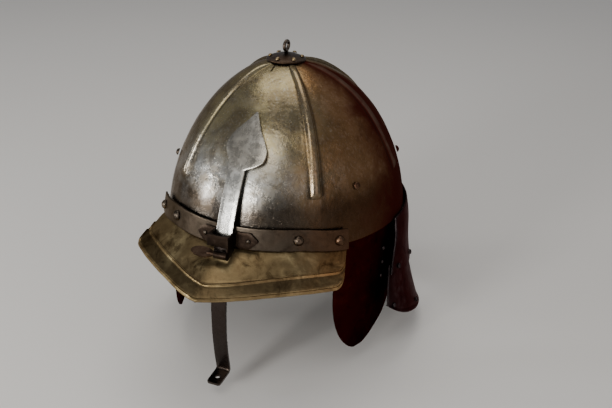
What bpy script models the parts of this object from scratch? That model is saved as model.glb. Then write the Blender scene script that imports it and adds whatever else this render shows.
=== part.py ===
"""A horseman's steel helmet: ribbed skull, pointed peak with a sliding nasal bar,
cheek pieces and a flared neck guard of two lames.

Metres, +Z up, the wearer faces -Y and the wearer's left is +X. The origin is the centre of the
head opening, in the plane of the skull's rim.
"""
import math
import bpy
import bmesh
from mathutils import Vector

# Fits
GAP = 0.0003                # left between two pieces that lie on each other
SLIDE_GAP = 0.0009          # left each side of the nasal bar where it slides
MERGE = 0.0000005           # points nearer than this are one

# Skull
SKULL_HALF_WIDTH = 0.103    # outer, at its widest level
SKULL_HALF_LENGTH = 0.1173
DOME_HEIGHT = 0.1426        # widest level to the apex of the outer curve
RIM_ABOVE_WIDEST = 0.0165
DOME_POWER = 1.996
DOME_ROOT = 0.53
SKULL_WALL = 0.0016
CROWN_HOLE_RADIUS = 0.0042
CROWN_SHIFT = -0.0048       # the crown sits a little to the wearer's right
CROWN_SHIFT_POWER = 10
SKULL_ROWS = 15
RIB_HEIGHT = 0.0026
RIB_END_HEIGHT = 0.040      # above the rim
RIB_END_LENGTH = 0.0036     # in which a rib's lower end rises
RIB_TOP_LENGTH = 0.006      # in which its upper end sinks under the disc
RIB_HALF_WIDTH_LOW = 0.0045
RIB_HALF_WIDTH_TOP = 0.0034
RIB_TOP_RADIUS = 0.0195     # where the ribs start, from the axis
RIB_SECTION = ((-1.0, 0.0), (-0.6, 0.78), (0.0, 1.0), (0.6, 0.78))     # across, share of the height
RIBS = (-149.0, -110.0, -37.5, 40.0, 96.5, 149.0)    # degrees from the front, towards +X
COLUMN_ANGLE = 17.0         # widest plain facet between two ribs, in degrees

# Crown disc and its eye
DISC_RADIUS = 0.0170
DISC_PLATE = 0.0014
DISC_RISE = 0.0044
DISC_RIVET_RING = 0.0134
DISC_RIVETS = 6
DISC_RIVET_START = 0.87     # share of a step from the front to the first rivet
EYE_WIRE_RADIUS = 0.0016
EYE_HALF_WIDTH = 0.0046
EYE_HALF_HEIGHT = 0.0040
EYE_STEM = 0.0021           # disc top to the middle of the lower wire
NUT_MARGIN = 0.0022         # the stem's peened foot, beyond the crown's hole
NUT_THICKNESS = 0.0014

# Brow band
BAND_WALL = 0.0015
BAND_LOW = 0.0018           # above the rim plane, at the front
BAND_HEIGHT = 0.0172
BAND_HALF_ANGLE = 54.0
BAND_DROOP = 0.0048         # how far its ends hang lower than its front
BAND_DROOP_START = 30.0
BAND_COLUMNS = 24
BAND_ROWS = 2
BAND_RIVET_ANGLES = (-49.6, -31.4, 31.4, 49.6)

# Peak
PEAK_WALL = 0.0014
PEAK_FLANGE_MARGIN = 0.002  # its flange stops this far below the band's top
PEAK_REACH = 0.0577         # in front of the skull, at the point
PEAK_DROP = 0.0225          # point's middle line below the rim plane
PEAK_CORNER_X = SKULL_HALF_WIDTH - 0.0085       # rear outer corner
PEAK_CORNER_Y = 0.0143 - SKULL_HALF_LENGTH
PEAK_HALF_ANGLE = 53.6
PEAK_STRAIGHT = 0.94        # share of the rim before its rear corner rounds off
PEAK_CORNER_ANGLE = 0.93    # the same share of the half angle
PEAK_REAR = 0.34            # share of the rear edge that the rounded corner takes
PEAK_REAR_DROP = 0.66       # drop where the rear edge begins, as a share of the rim's
PEAK_SIDE_BULGE = 0.0030
PEAK_POINT_BLUNT = 0.0045
PEAK_BEAD = 0.0012          # the turned rim stands this proud of each face
PEAK_LINE_INSET = 0.0165    # raised line, in from the rim
PEAK_LINE_HEIGHT = 0.0011
PEAK_LINE_HALF_WIDTH = 0.0016
PEAK_CORNER_COLUMNS = 4
PEAK_COLUMNS = 14           # on each side of the point
PEAK_BEND_BELOW = 0.0009    # the bend's middle under the band's lower edge

# Nasal bar: an arc about a lateral axis behind the face
ARC_CENTRE_Z = -0.0496
BAR_THICKNESS = 0.0021
BAR_HALF_WIDTH = 0.0070
BAR_FOOT_HALF_WIDTH = 0.0060
BAR_LEVEL = 0.017           # the arc's zero length is at this height
BAR_AHEAD = 0.0038          # its middle there, in front of the skull's widest line
SLOT_BELOW = 0.030          # reach of the cut through the peak, along the arc
SLOT_ABOVE = 0.010
BAR_NECK = 0.048            # zero to where the leaf begins
BAR_BELOW = 0.1255          # zero to the foot's bend
LEAF_LENGTH = 0.0495
LEAF_HALF_WIDTH = 0.0178
LEAF_TIP_HEIGHT = 0.0989    # where the arc stands LEAF_AHEAD in front of the skull
LEAF_AHEAD = 0.0034
FOOT_LENGTH = 0.0165
FOOT_PITCH = 9.0            # degrees below the level
FOOT_BEND_RADIUS = 0.0028
FOOT_HOLE_RADIUS = 0.0022
FOOT_HOLE_BACK = 0.0085     # from the toe

# Staple that holds the bar, with the lug for the thumb screw
STAPLE_WALL = 0.0015
STAPLE_FRONT_Y = -SKULL_HALF_LENGTH - 0.0167
STAPLE_TOP = 0.0166
STAPLE_STRAP_HEIGHT = 0.0094
STAPLE_SIDE_HEIGHT = 0.0186
FLANGE_REACH = 0.0262       # each flange's point, from the middle
FLANGE_POINT = 0.0060
FLANGE_MIDDLE = 0.0094
FLANGE_HALF_HEIGHT = 0.0064
FLANGE_RIVET_X = 0.0190
FLANGE_TIP_HALF = 0.0008
STAPLE_STEP = 0.0012        # the strap's root stands this far off the flange
LUG_RADIUS = 0.0031
LUG_FORWARD = 0.0012        # lug's axis in front of the staple's face
LUG_ABOVE_RIM = 0.0012
LUG_LEFT = -0.0018
SCREW_RADIUS = 0.0015
SCREW_DEPTH = 0.0070
LEAF_GAP = 0.0006
THUMB_LENGTH = 0.0200
THUMB_HALF_DEPTH = 0.0047
THUMB_THICKNESS = 0.0016
THUMB_TILT = 32.0           # degrees, front edge down

# Cheek pieces
CHEEK_WALL = 0.0014
CHEEK_INSET = 0.0027        # outer face, inside the skull's outer line
CHEEK_TAPER = 0.0060        # drawn in at the tip
CHEEK_TOP = 0.0045          # above the rim plane, hidden inside the skull
CHEEK_LENGTH = 0.1080       # tip below the rim plane
CHEEK_RIVET_ANGLE = 79.8
CHEEK_RIVET_FIRST = 0.0208
CHEEK_RIVET_PITCH = 0.0130
CHEEK_RIVETS = 3

# Neck guard
LAME_WALL = 0.0014
LAME_OVERLAP = 0.0090
GUARD_TOP = 0.0032          # the upper lame laps over the skull's rim
GUARD_BEND = -0.0012        # below it the lames stand off
GUARD_STANDOFF = 0.0022
GUARD_TOP_ANGLE = 86.0
GUARD_LOW_ANGLE = 77.0
UPPER_FRONT_LOW = -0.0420
UPPER_BACK_LOW = -0.0640
LOWER_FRONT_LOW = -0.0710
LOWER_BACK_LOW = -0.1250
GUARD_LOW_POWER = 0.66      # how soon the lower edges run down from the front
GUARD_FLARE_POWER = 0.5
GUARD_FLARE_FRONT = 0.0055
GUARD_FLARE_BACK = 0.0275
GUARD_BEAD = 0.0009
GUARD_COLUMNS = 26
GUARD_RIVET_ANGLES = (-150.0, -108.0, -82.0, 82.0, 108.0, 150.0)
GUARD_RIVET_UP = 0.0065     # above each lame's lower edge

# Hidden leathers that carry the cheek pieces and the lames
LEATHER = 0.0018
LEATHER_HALF_WIDTH = 0.0075
LEATHER_TOP = 0.0140
CHEEK_LEATHER_LOW = -0.0280
LEATHER_GAP = 0.0011        # behind the plates, whose faces are flat between their columns
GUARD_LAP = LAME_WALL + LEATHER_GAP + GAP     # outer face outside the skull's line, at the rim
LEATHER_END_ABOVE = 0.0040  # lower lame's edge to the leather's end
CHEEK_LEATHER_ANGLE = 66.0
GUARD_LEATHER_ANGLES = (118.0, 180.0, 242.0)

# Rivets
RIVET_SIDES = 8
BAND_RIVET = (0.0041, 0.0031)       # head radius, height
SKULL_RIVET = (0.0031, 0.0022)
SMALL_RIVET = (0.0019, 0.0013)
GUARD_RIVET = (0.0024, 0.0016)
SKULL_RIVET_HEIGHT = 0.0437
SKULL_RIVET_ANGLES = (-117.5, -63.0, 62.0, 117.5, 180.0)


def clear_scene():
    for thing in list(bpy.data.objects):
        bpy.data.objects.remove(thing)


def material(name, colour, roughness, metallic):
    """A plain Principled material."""
    made = bpy.data.materials.new(name)
    made.use_nodes = True
    shader = made.node_tree.nodes["Principled BSDF"]
    shader.inputs["Base Color"].default_value = (*colour, 1.0)
    shader.inputs["Roughness"].default_value = roughness
    shader.inputs["Metallic"].default_value = metallic
    return made


def make_object(name, points, faces, finish):
    """One closed mesh object; its faces are turned outwards and shaded smooth."""
    mesh = bpy.data.meshes.new(name)
    mesh.from_pydata([tuple(point) for point in points], [], faces)
    shape = bmesh.new()
    shape.from_mesh(mesh)
    bmesh.ops.remove_doubles(shape, verts=shape.verts, dist=MERGE)
    bmesh.ops.recalc_face_normals(shape, faces=shape.faces)
    shape.to_mesh(mesh)
    shape.free()
    mesh.materials.append(finish)
    mesh.shade_smooth()
    mesh.set_sharp_from_angle(angle=math.radians(40.0))
    made = bpy.data.objects.new(name, mesh)
    bpy.context.scene.collection.objects.link(made)
    return made


def sheet(outer, inner, wrap=False):
    """Points and faces of a wall between two equal grids; wrap joins the last column to the first."""
    rows = len(outer)
    columns = len(outer[0])
    points = [point for row in outer for point in row] + [point for row in inner for point in row]
    shift = rows * columns
    faces = []

    def corner(row, column):
        return row * columns + column % columns

    last = columns if wrap else columns - 1
    for row in range(rows - 1):
        for column in range(last):
            quad = (corner(row, column), corner(row, column + 1),
                    corner(row + 1, column + 1), corner(row + 1, column))
            faces.append(quad)
            faces.append(tuple(index + shift for index in reversed(quad)))
    for row in (0, rows - 1):
        for column in range(last):
            near = corner(row, column)
            far = corner(row, column + 1)
            faces.append((near, far, far + shift, near + shift))
    if not wrap:
        for column in (0, columns - 1):
            for row in range(rows - 1):
                near = corner(row, column)
                far = corner(row + 1, column)
                faces.append((near, far, far + shift, near + shift))
    return points, faces


def bound(value, low, high):
    return max(low, min(high, value))


def ease(share):
    """Smooth step from 0 to 1."""
    share = bound(share, 0.0, 1.0)
    return share * share * (3.0 - 2.0 * share)


def mix(start, end, share):
    return start + (end - start) * share


def skull_share(z):
    """Size of the skull's section at a height, as a share of its widest; below the widest it stays 1."""
    up = bound((z + RIM_ABOVE_WIDEST) / DOME_HEIGHT, 0.0, 1.0)
    return (1.0 - up ** DOME_POWER) ** DOME_ROOT


def skull_height(share):
    """Height at which the section has that share."""
    return DOME_HEIGHT * (1.0 - share ** (1.0 / DOME_ROOT)) ** (1.0 / DOME_POWER) - RIM_ABOVE_WIDEST


def skin(angle, z, out=0.0):
    """Point outside the skull's outer line by out, at degrees from the front and a height."""
    turn = math.radians(angle)
    share = skull_share(z)
    lean = CROWN_SHIFT * bound((z + RIM_ABOVE_WIDEST) / DOME_HEIGHT, 0.0, 1.0) ** CROWN_SHIFT_POWER
    return Vector(((SKULL_HALF_WIDTH * share + out) * math.sin(turn) + lean,
                   -(SKULL_HALF_LENGTH * share + out) * math.cos(turn), z))


def skin_normal(angle, z, out=0.0):
    """Outward direction of that surface."""
    around = skin(angle + 0.5, z, out) - skin(angle - 0.5, z, out)
    along = skin(angle, z + 0.0005, out) - skin(angle, z - 0.0005, out)
    return around.cross(along).normalized()


def skin_y(x, z, out):
    """The front y of that surface at a lateral place."""
    share = skull_share(z)
    across = bound(x / (SKULL_HALF_WIDTH * share + out), -1.0, 1.0)
    return -(SKULL_HALF_LENGTH * share + out) * math.sqrt(1.0 - across * across)


def skin_angle(x, z, out):
    share = skull_share(z)
    return math.degrees(math.asin(bound(x / (SKULL_HALF_WIDTH * share + out), -1.0, 1.0)))


def rib_columns(share):
    """Angles of the skull's columns and how much of the rib's height each has, at one height."""
    radius = (SKULL_HALF_WIDTH + SKULL_HALF_LENGTH) / 2 * max(share, 0.05)
    width = mix(RIB_HALF_WIDTH_TOP, RIB_HALF_WIDTH_LOW, ease((share - 0.2) / 0.7))
    half = min(math.degrees(width / radius), 13.0)
    columns = []
    for place, rib in enumerate(RIBS):
        following = RIBS[(place + 1) % len(RIBS)]
        if following <= rib:
            following += 360.0
        for part, lift in RIB_SECTION:
            columns.append((rib + part * half, lift))
        facets = math.ceil((following - rib) / COLUMN_ANGLE)
        for step in range(facets):
            columns.append((mix(rib + half, following - half, step / facets), 0.0))
    return columns


def rib_rise(z, share):
    """Share of the rib's height: rounded off at its lower end and under the disc's edge."""
    low = ease((z - RIB_END_HEIGHT) / RIB_END_LENGTH)
    radius = (SKULL_HALF_WIDTH + SKULL_HALF_LENGTH) / 2 * share
    top = ease((radius - RIB_TOP_RADIUS) / RIB_TOP_LENGTH)
    return low * top


def skull_levels():
    """Heights of the skull's rows, rim to crown, with rows at the ribs' lower ends."""
    top_share = CROWN_HOLE_RADIUS / SKULL_HALF_LENGTH
    low_turn = math.acos(skull_share(0.0))
    high_turn = math.acos(top_share)
    levels = [skull_height(math.cos(mix(low_turn, high_turn, step / SKULL_ROWS)))
              for step in range(1, SKULL_ROWS)]
    ends = [RIB_END_HEIGHT + RIB_END_LENGTH * share for share in (0.0, 0.5, 1.0)]
    clear = [z for z in levels if z < ends[0] - RIB_END_LENGTH / 2 or z > ends[2] + RIB_END_LENGTH / 2]
    return sorted([0.0] + clear + ends + [skull_height(top_share)])


def skull(finish):
    outer = []
    inner = []
    for z in skull_levels():
        share = skull_share(z)
        rise = rib_rise(z, share) * RIB_HEIGHT
        outer_row = []
        inner_row = []
        for angle, lift in rib_columns(share):
            out = skin(angle, z)
            normal = skin_normal(angle, z)
            if z <= 0.0:
                normal.z = 0.0
                normal.normalize()
            outer_row.append(out + normal * rise * lift)
            inner_row.append(out + normal * (rise * lift - SKULL_WALL))
        outer.append(outer_row)
        inner.append(inner_row)
    return make_object("skull", *sheet(outer, inner, wrap=True), finish)


def turned(profile, sides):
    """Points and faces of a closed turned solid; the profile's first and last points are on the axis."""
    points = [(0.0, 0.0, profile[0][1])]
    for radius, height in profile[1:-1]:
        for side in range(sides):
            turn = math.tau * side / sides
            points.append((radius * math.cos(turn), radius * math.sin(turn), height))
    points.append((0.0, 0.0, profile[-1][1]))
    faces = []
    rings = len(profile) - 2
    for side in range(sides):
        following = (side + 1) % sides
        faces.append((0, 1 + following, 1 + side))
        for ring in range(rings - 1):
            low = 1 + ring * sides
            high = low + sides
            faces.append((low + side, low + following, high + following, high + side))
        last = 1 + (rings - 1) * sides
        faces.append((last + side, last + following, len(points) - 1))
    return points, faces


def place(points, centre, normal):
    """Points moved so that their +Z runs along a normal from a centre."""
    turn = Vector((0.0, 0.0, 1.0)).rotation_difference(Vector(normal))
    return [turn @ Vector(point) + Vector(centre) for point in points]


def rivet(name, centre, normal, size, finish):
    """A domed rivet head standing a gap off the surface it holds."""
    radius, height = size
    profile = [(0.0, 0.0), (radius, 0.0), (radius * 0.94, height * 0.38), (radius * 0.55, height * 0.86),
               (0.0, height)]
    points, faces = turned(profile, RIVET_SIDES)
    seat = Vector(centre) + Vector(normal) * GAP
    return make_object(name, place(points, seat, normal), faces, finish)


def disc_top(radius):
    """Height of the crown disc's upper face at a radius."""
    seat = skull_height(DISC_RADIUS / SKULL_HALF_LENGTH) + GAP * 2 + DISC_PLATE
    share = bound(radius / DISC_RADIUS, 0.0, 1.0)
    return seat + DISC_RISE * (1.0 - share * share)


def crown_disc(finish):
    """A dished washer over the crown, with a hole for the eye's stem."""
    steps = 3
    sides = 20
    outer = []
    inner = []
    hole = EYE_WIRE_RADIUS + GAP
    for step in range(steps + 1):
        radius = mix(hole, DISC_RADIUS, step / steps)
        top = disc_top(radius)
        ring = [(radius * math.cos(math.tau * side / sides), radius * math.sin(math.tau * side / sides))
                for side in range(sides)]
        outer.append([Vector((x + CROWN_SHIFT, y, top)) for x, y in ring])
        inner.append([Vector((x + CROWN_SHIFT, y, top - DISC_PLATE)) for x, y in ring])
    return make_object("crown_disc", *sheet(outer, inner, wrap=True), finish)


def crown_eye(finish):
    """An upright oval wire eye on a stem that runs down through the disc into the skull."""
    around = 14
    wire_sides = 8
    base = disc_top(0.0)
    middle = base + EYE_STEM + EYE_HALF_HEIGHT
    points = []
    faces = []
    for step in range(around):
        turn = math.tau * step / around
        centre = Vector((0.0, EYE_HALF_WIDTH * math.sin(turn), middle - EYE_HALF_HEIGHT * math.cos(turn)))
        outward = Vector((0.0, math.sin(turn) / EYE_HALF_WIDTH, -math.cos(turn) / EYE_HALF_HEIGHT)).normalized()
        for side in range(wire_sides):
            spin = math.tau * side / wire_sides
            points.append(centre + (outward * math.cos(spin) + Vector((1.0, 0.0, 0.0)) * math.sin(spin))
                          * EYE_WIRE_RADIUS)
    for step in range(around):
        for side in range(wire_sides):
            low = step * wire_sides
            high = (step + 1) % around * wire_sides
            near = side
            far = (side + 1) % wire_sides
            faces.append((low + near, low + far, high + far, high + near))
    eye = make_object("crown_eye", points, faces, finish)
    nut = CROWN_HOLE_RADIUS + NUT_MARGIN
    foot = skull_height(nut / SKULL_HALF_WIDTH) - SKULL_WALL - GAP * 2
    stem_top = base + EYE_STEM
    stem_profile = [(0.0, foot - NUT_THICKNESS), (nut, foot - NUT_THICKNESS), (nut, foot),
                    (EYE_WIRE_RADIUS, foot), (EYE_WIRE_RADIUS, stem_top), (0.0, stem_top)]
    stem = make_object("stem_tool", *turned(stem_profile, wire_sides * 2), finish)
    join(eye, [stem])
    eye.data.transform(turn_to((CROWN_SHIFT, 0.0, 0.0), (0.0, 0.0, 1.0)))
    return eye


def join(target, tools, operation="UNION"):
    """Applies Booleans to the target and removes the tools."""
    for tool in tools:
        step = target.modifiers.new("step", "BOOLEAN")
        step.operation = operation
        step.object = tool
        step.solver = "EXACT"
    bpy.context.view_layer.update()
    evaluated = target.evaluated_get(bpy.context.evaluated_depsgraph_get())
    result = bpy.data.meshes.new_from_object(evaluated)
    target.modifiers.clear()
    target.data = result
    for tool in tools:
        bpy.data.objects.remove(tool)


def band_low(angle):
    """Height of the band's lower edge."""
    droop = ease((abs(angle) - BAND_DROOP_START) / (BAND_HALF_ANGLE - BAND_DROOP_START))
    return BAND_LOW - BAND_DROOP * droop


FLANGE_OUT = GAP + PEAK_WALL            # peak flange's outer face, outside the skull
BAND_OUT = FLANGE_OUT + GAP + BAND_WALL     # band's outer face


def brow_band(finish):
    outer = []
    inner = []
    for row in range(BAND_ROWS + 1):
        outer_row = []
        inner_row = []
        for column in range(BAND_COLUMNS + 1):
            angle = mix(-BAND_HALF_ANGLE, BAND_HALF_ANGLE, column / BAND_COLUMNS)
            z = band_low(angle) + BAND_HEIGHT * row / BAND_ROWS
            outer_row.append(skin(angle, z, BAND_OUT))
            inner_row.append(skin(angle, z, BAND_OUT - BAND_WALL))
        outer.append(outer_row)
        inner.append(inner_row)
    return make_object("brow_band", *sheet(outer, inner), finish)


def rim_point(share):
    """Plan of the peak's rim: 0 at the point, 1 at the rear outer corner, for the +X side."""
    point = Vector((0.0, -SKULL_HALF_LENGTH - PEAK_REACH))
    corner = Vector((PEAK_CORNER_X, PEAK_CORNER_Y))
    along = corner - point
    side = Vector((-along.y, along.x)).normalized()
    if side.y > 0.0:
        side = -side
    straight = point + along * share
    blunt = Vector((0.0, PEAK_POINT_BLUNT * (1.0 - ease(share / 0.16))))
    return straight + side * PEAK_SIDE_BULGE * 4.0 * share * (1.0 - share) + blunt * 0.5


def peak_stations():
    """For the +X side: the inner angle and the rim's plan point of each column, point to rear edge."""
    stations = []
    straight_columns = PEAK_COLUMNS - PEAK_CORNER_COLUMNS
    last_angle = PEAK_HALF_ANGLE * PEAK_CORNER_ANGLE
    for step in range(straight_columns + 1):
        share = step / straight_columns
        stations.append((last_angle * share, rim_point(share * PEAK_STRAIGHT), 1.0))
    rear_inner = skin(PEAK_HALF_ANGLE, band_low(PEAK_HALF_ANGLE), FLANGE_OUT)
    start = rim_point(PEAK_STRAIGHT)
    corner = Vector((PEAK_CORNER_X, PEAK_CORNER_Y))
    end = corner.lerp(rear_inner.xy, PEAK_REAR)
    for step in range(1, PEAK_CORNER_COLUMNS + 1):
        share = step / PEAK_CORNER_COLUMNS
        curve = start.lerp(corner, share).lerp(corner.lerp(end, share), share)
        stations.append((mix(last_angle, PEAK_HALF_ANGLE, share), curve, mix(1.0, PEAK_REAR_DROP, share ** 2)))
    return stations


# Sections across the brim: share of the way from bend to rim is worked out from these
BRIM_STEPS = ("bend", "root", "quarter", "half", "line_in", "line_top", "line_out", "bead_in", "bead_top", "rim")


def peak(finish):
    """Flange up behind the band, a bend, the pointed brim with a raised line, and a turned rim."""
    right = peak_stations()
    stations = [(-angle, Vector((-plan.x, plan.y)), low) for angle, plan, low in reversed(right[1:])] + right
    upper = []
    lower = []
    for angle, plan, low in stations:
        top_z = band_low(angle) + BAND_HEIGHT - PEAK_FLANGE_MARGIN
        bend_z = band_low(angle) - PEAK_BEND_BELOW
        middle = FLANGE_OUT - PEAK_WALL / 2
        bend = skin(angle, bend_z, middle)
        rim = Vector((plan.x, plan.y, mix(bend_z, -PEAK_DROP, low)))
        way = rim - bend
        length = way.length
        outward = Vector((way.x, way.y, 0.0)).normalized()
        up = (way.cross(Vector((0.0, 0.0, 1.0)).cross(way))).normalized()
        inset = min(PEAK_LINE_INSET, length * 0.42)
        line = length - inset
        places = {
            "root": (0.0028, 0.0004, 1.0),
            "quarter": (line * 0.36, 0.0006, 1.0),
            "half": (line * 0.70, 0.0003, 1.0),
            "line_in": (line - PEAK_LINE_HALF_WIDTH, 0.0, 1.0),
            "line_top": (line, PEAK_LINE_HEIGHT, 1.0),
            "line_out": (line + PEAK_LINE_HALF_WIDTH, 0.0, 1.0),
            "bead_in": (length - 0.0034, 0.0, 1.0),
            "bead_top": (length - 0.0016, 0.0, 1.0 + 2 * PEAK_BEAD / PEAK_WALL),
            "rim": (length, 0.0, 0.62),
        }
        high = []
        under = []
        for step in range(3):
            z = mix(top_z, bend_z + 0.001, step / 2)
            high.append(skin(angle, z, FLANGE_OUT))
            under.append(skin(angle, z, FLANGE_OUT - PEAK_WALL))
        for step in BRIM_STEPS[1:]:
            along, lift, thick = places[step]
            centre = bend + way * (along / length) + up * lift
            half = up * (PEAK_WALL * thick / 2)
            high.append(centre + half)
            under.append(centre - half)
        upper.append(high)
        lower.append(under)
    made = make_object("peak", *sheet(upper, lower), finish)
    slot_half = BAR_HALF_WIDTH + SLIDE_GAP
    slot = arc_block("slot_tool", -SLOT_BELOW, SLOT_ABOVE, slot_half, BAR_THICKNESS / 2 + SLIDE_GAP, finish)
    join(made, [slot], "DIFFERENCE")
    return made


# The arc runs through a point ahead of the brow and one ahead of the skull at the leaf's tip
BAR_FRONT = -SKULL_HALF_LENGTH - BAR_AHEAD
TIP_FRONT = -SKULL_HALF_LENGTH * skull_share(LEAF_TIP_HEIGHT) - LEAF_AHEAD
BAR_UP = BAR_LEVEL - ARC_CENTRE_Z
TIP_UP = LEAF_TIP_HEIGHT - ARC_CENTRE_Z
ARC_CENTRE_Y = (BAR_FRONT ** 2 - TIP_FRONT ** 2 + BAR_UP ** 2 - TIP_UP ** 2) / (2 * (BAR_FRONT - TIP_FRONT))
ARC_RADIUS = math.hypot(BAR_FRONT - ARC_CENTRE_Y, BAR_UP)
BAR_TURN = math.asin(BAR_UP / ARC_RADIUS)       # the arc's angle at its zero length


def arc_point(length, out, x):
    """Point on the bar's arc, a length above its zero, out from its middle and x across."""
    turn = BAR_TURN + length / ARC_RADIUS
    radius = ARC_RADIUS + out
    return Vector((x, ARC_CENTRE_Y - radius * math.cos(turn), ARC_CENTRE_Z + radius * math.sin(turn)))


def arc_block(name, start, end, half_width, half_depth, finish):
    """A straight-sided block along the bar's arc, used to cut the bar's way."""
    rows = 8
    outer = []
    inner = []
    for row in range(rows + 1):
        length = mix(start, end, row / rows)
        outer.append([arc_point(length, half_depth, x) for x in (-half_width, half_width)])
        inner.append([arc_point(length, -half_depth, x) for x in (-half_width, half_width)])
    return make_object(name, *sheet(outer, inner), finish)


# Outline of the nasal's leaf: share of its length, and each edge as a share of its half width
LEAF_ROWS = (
    # up, wearer's right, wearer's left
    (0.000, -0.390, 0.390),
    (0.030, -0.400, 0.480),
    (0.055, -0.420, 0.680),
    (0.100, -0.440, 0.920),
    (0.170, -0.520, 1.140),
    (0.250, -0.680, 1.210),
    (0.340, -0.800, 1.205),
    (0.440, -0.800, 1.100),
    (0.570, -0.660, 0.850),
    (0.680, -0.460, 0.640),
    (0.790, -0.230, 0.490),
    (0.900, -0.010, 0.330),
    (1.000, 0.130, 0.190),
)


def nasal(finish, parent):
    """The sliding bar: a bent foot with a hole, the long arc, and the leaf at its top."""
    half = BAR_THICKNESS / 2
    front = []
    back = []
    bend_at = arc_point(-BAR_BELOW, 0.0, 0.0)
    turn = BAR_TURN - BAR_BELOW / ARC_RADIUS
    start_way = math.degrees(turn)
    end_way = 90.0 - FOOT_PITCH
    bend_steps = 4
    rows = []
    centre = Vector((0.0, bend_at.y, bend_at.z)) - Vector((0.0, math.cos(turn), -math.sin(turn))) * FOOT_BEND_RADIUS
    for step in range(bend_steps + 1):
        way = math.radians(mix(start_way, end_way, step / bend_steps))
        out = Vector((0.0, math.cos(way), -math.sin(way)))
        rows.append((centre + out * FOOT_BEND_RADIUS, -out, BAR_FOOT_HALF_WIDTH))
    last = rows[-1][0]
    pitch = math.radians(FOOT_PITCH)
    forward = Vector((0.0, -math.cos(pitch), -math.sin(pitch)))
    lift = Vector((0.0, -math.sin(pitch), math.cos(pitch)))
    for share, width in ((0.35, 1.0), (0.80, 1.02), (0.94, 0.95), (1.0, 0.72)):
        rows.append((last + forward * FOOT_LENGTH * share, lift, BAR_FOOT_HALF_WIDTH * width))
    for middle, out, width in reversed(rows):
        front.append([middle + out * half + Vector((x, 0.0, 0.0)) for x in (-width, 0.0, width)])
        back.append([middle - out * half + Vector((x, 0.0, 0.0)) for x in (-width, 0.0, width)])
    arc_rows = 16
    for row in range(1, arc_rows):
        share = row / arc_rows
        length = mix(-BAR_BELOW, BAR_NECK, share)
        width = mix(BAR_FOOT_HALF_WIDTH, BAR_HALF_WIDTH, ease(share / 0.7))
        front.append([arc_point(length, half, x) for x in (-width, 0.0, width)])
        back.append([arc_point(length, -half, x) for x in (-width, 0.0, width)])
    for up, right, left in LEAF_ROWS:
        length = BAR_NECK + LEAF_LENGTH * up
        edges = (LEAF_HALF_WIDTH * right, LEAF_HALF_WIDTH * (right + left) / 2, LEAF_HALF_WIDTH * left)
        front.append([arc_point(length, half, x) for x in edges])
        back.append([arc_point(length, -half, x) for x in edges])
    made = make_object("nasal_bar", *sheet(front, back), finish)
    hole_centre = last + forward * (FOOT_LENGTH - FOOT_HOLE_BACK)
    reach = BAR_THICKNESS * 3
    hole = make_object("hole_tool", *turned([(0.0, -reach), (FOOT_HOLE_RADIUS, -reach),
                                              (FOOT_HOLE_RADIUS, reach), (0.0, reach)], 12), finish)
    hole.data.transform(turn_to(hole_centre, lift))
    join(made, [hole], "DIFFERENCE")
    made.parent = parent
    made.location = -parent.location
    return made


def turn_to(centre, normal):
    """Matrix that carries a tool from the origin to a centre, its +Z along a normal."""
    matrix = Vector((0.0, 0.0, 1.0)).rotation_difference(Vector(normal)).to_matrix().to_4x4()
    matrix.translation = Vector(centre)
    return matrix


LUG_Y = STAPLE_FRONT_Y - LUG_FORWARD
STAPLE_HALF_WIDTH = BAR_HALF_WIDTH + SLIDE_GAP * 0.6 + STAPLE_WALL


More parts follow.
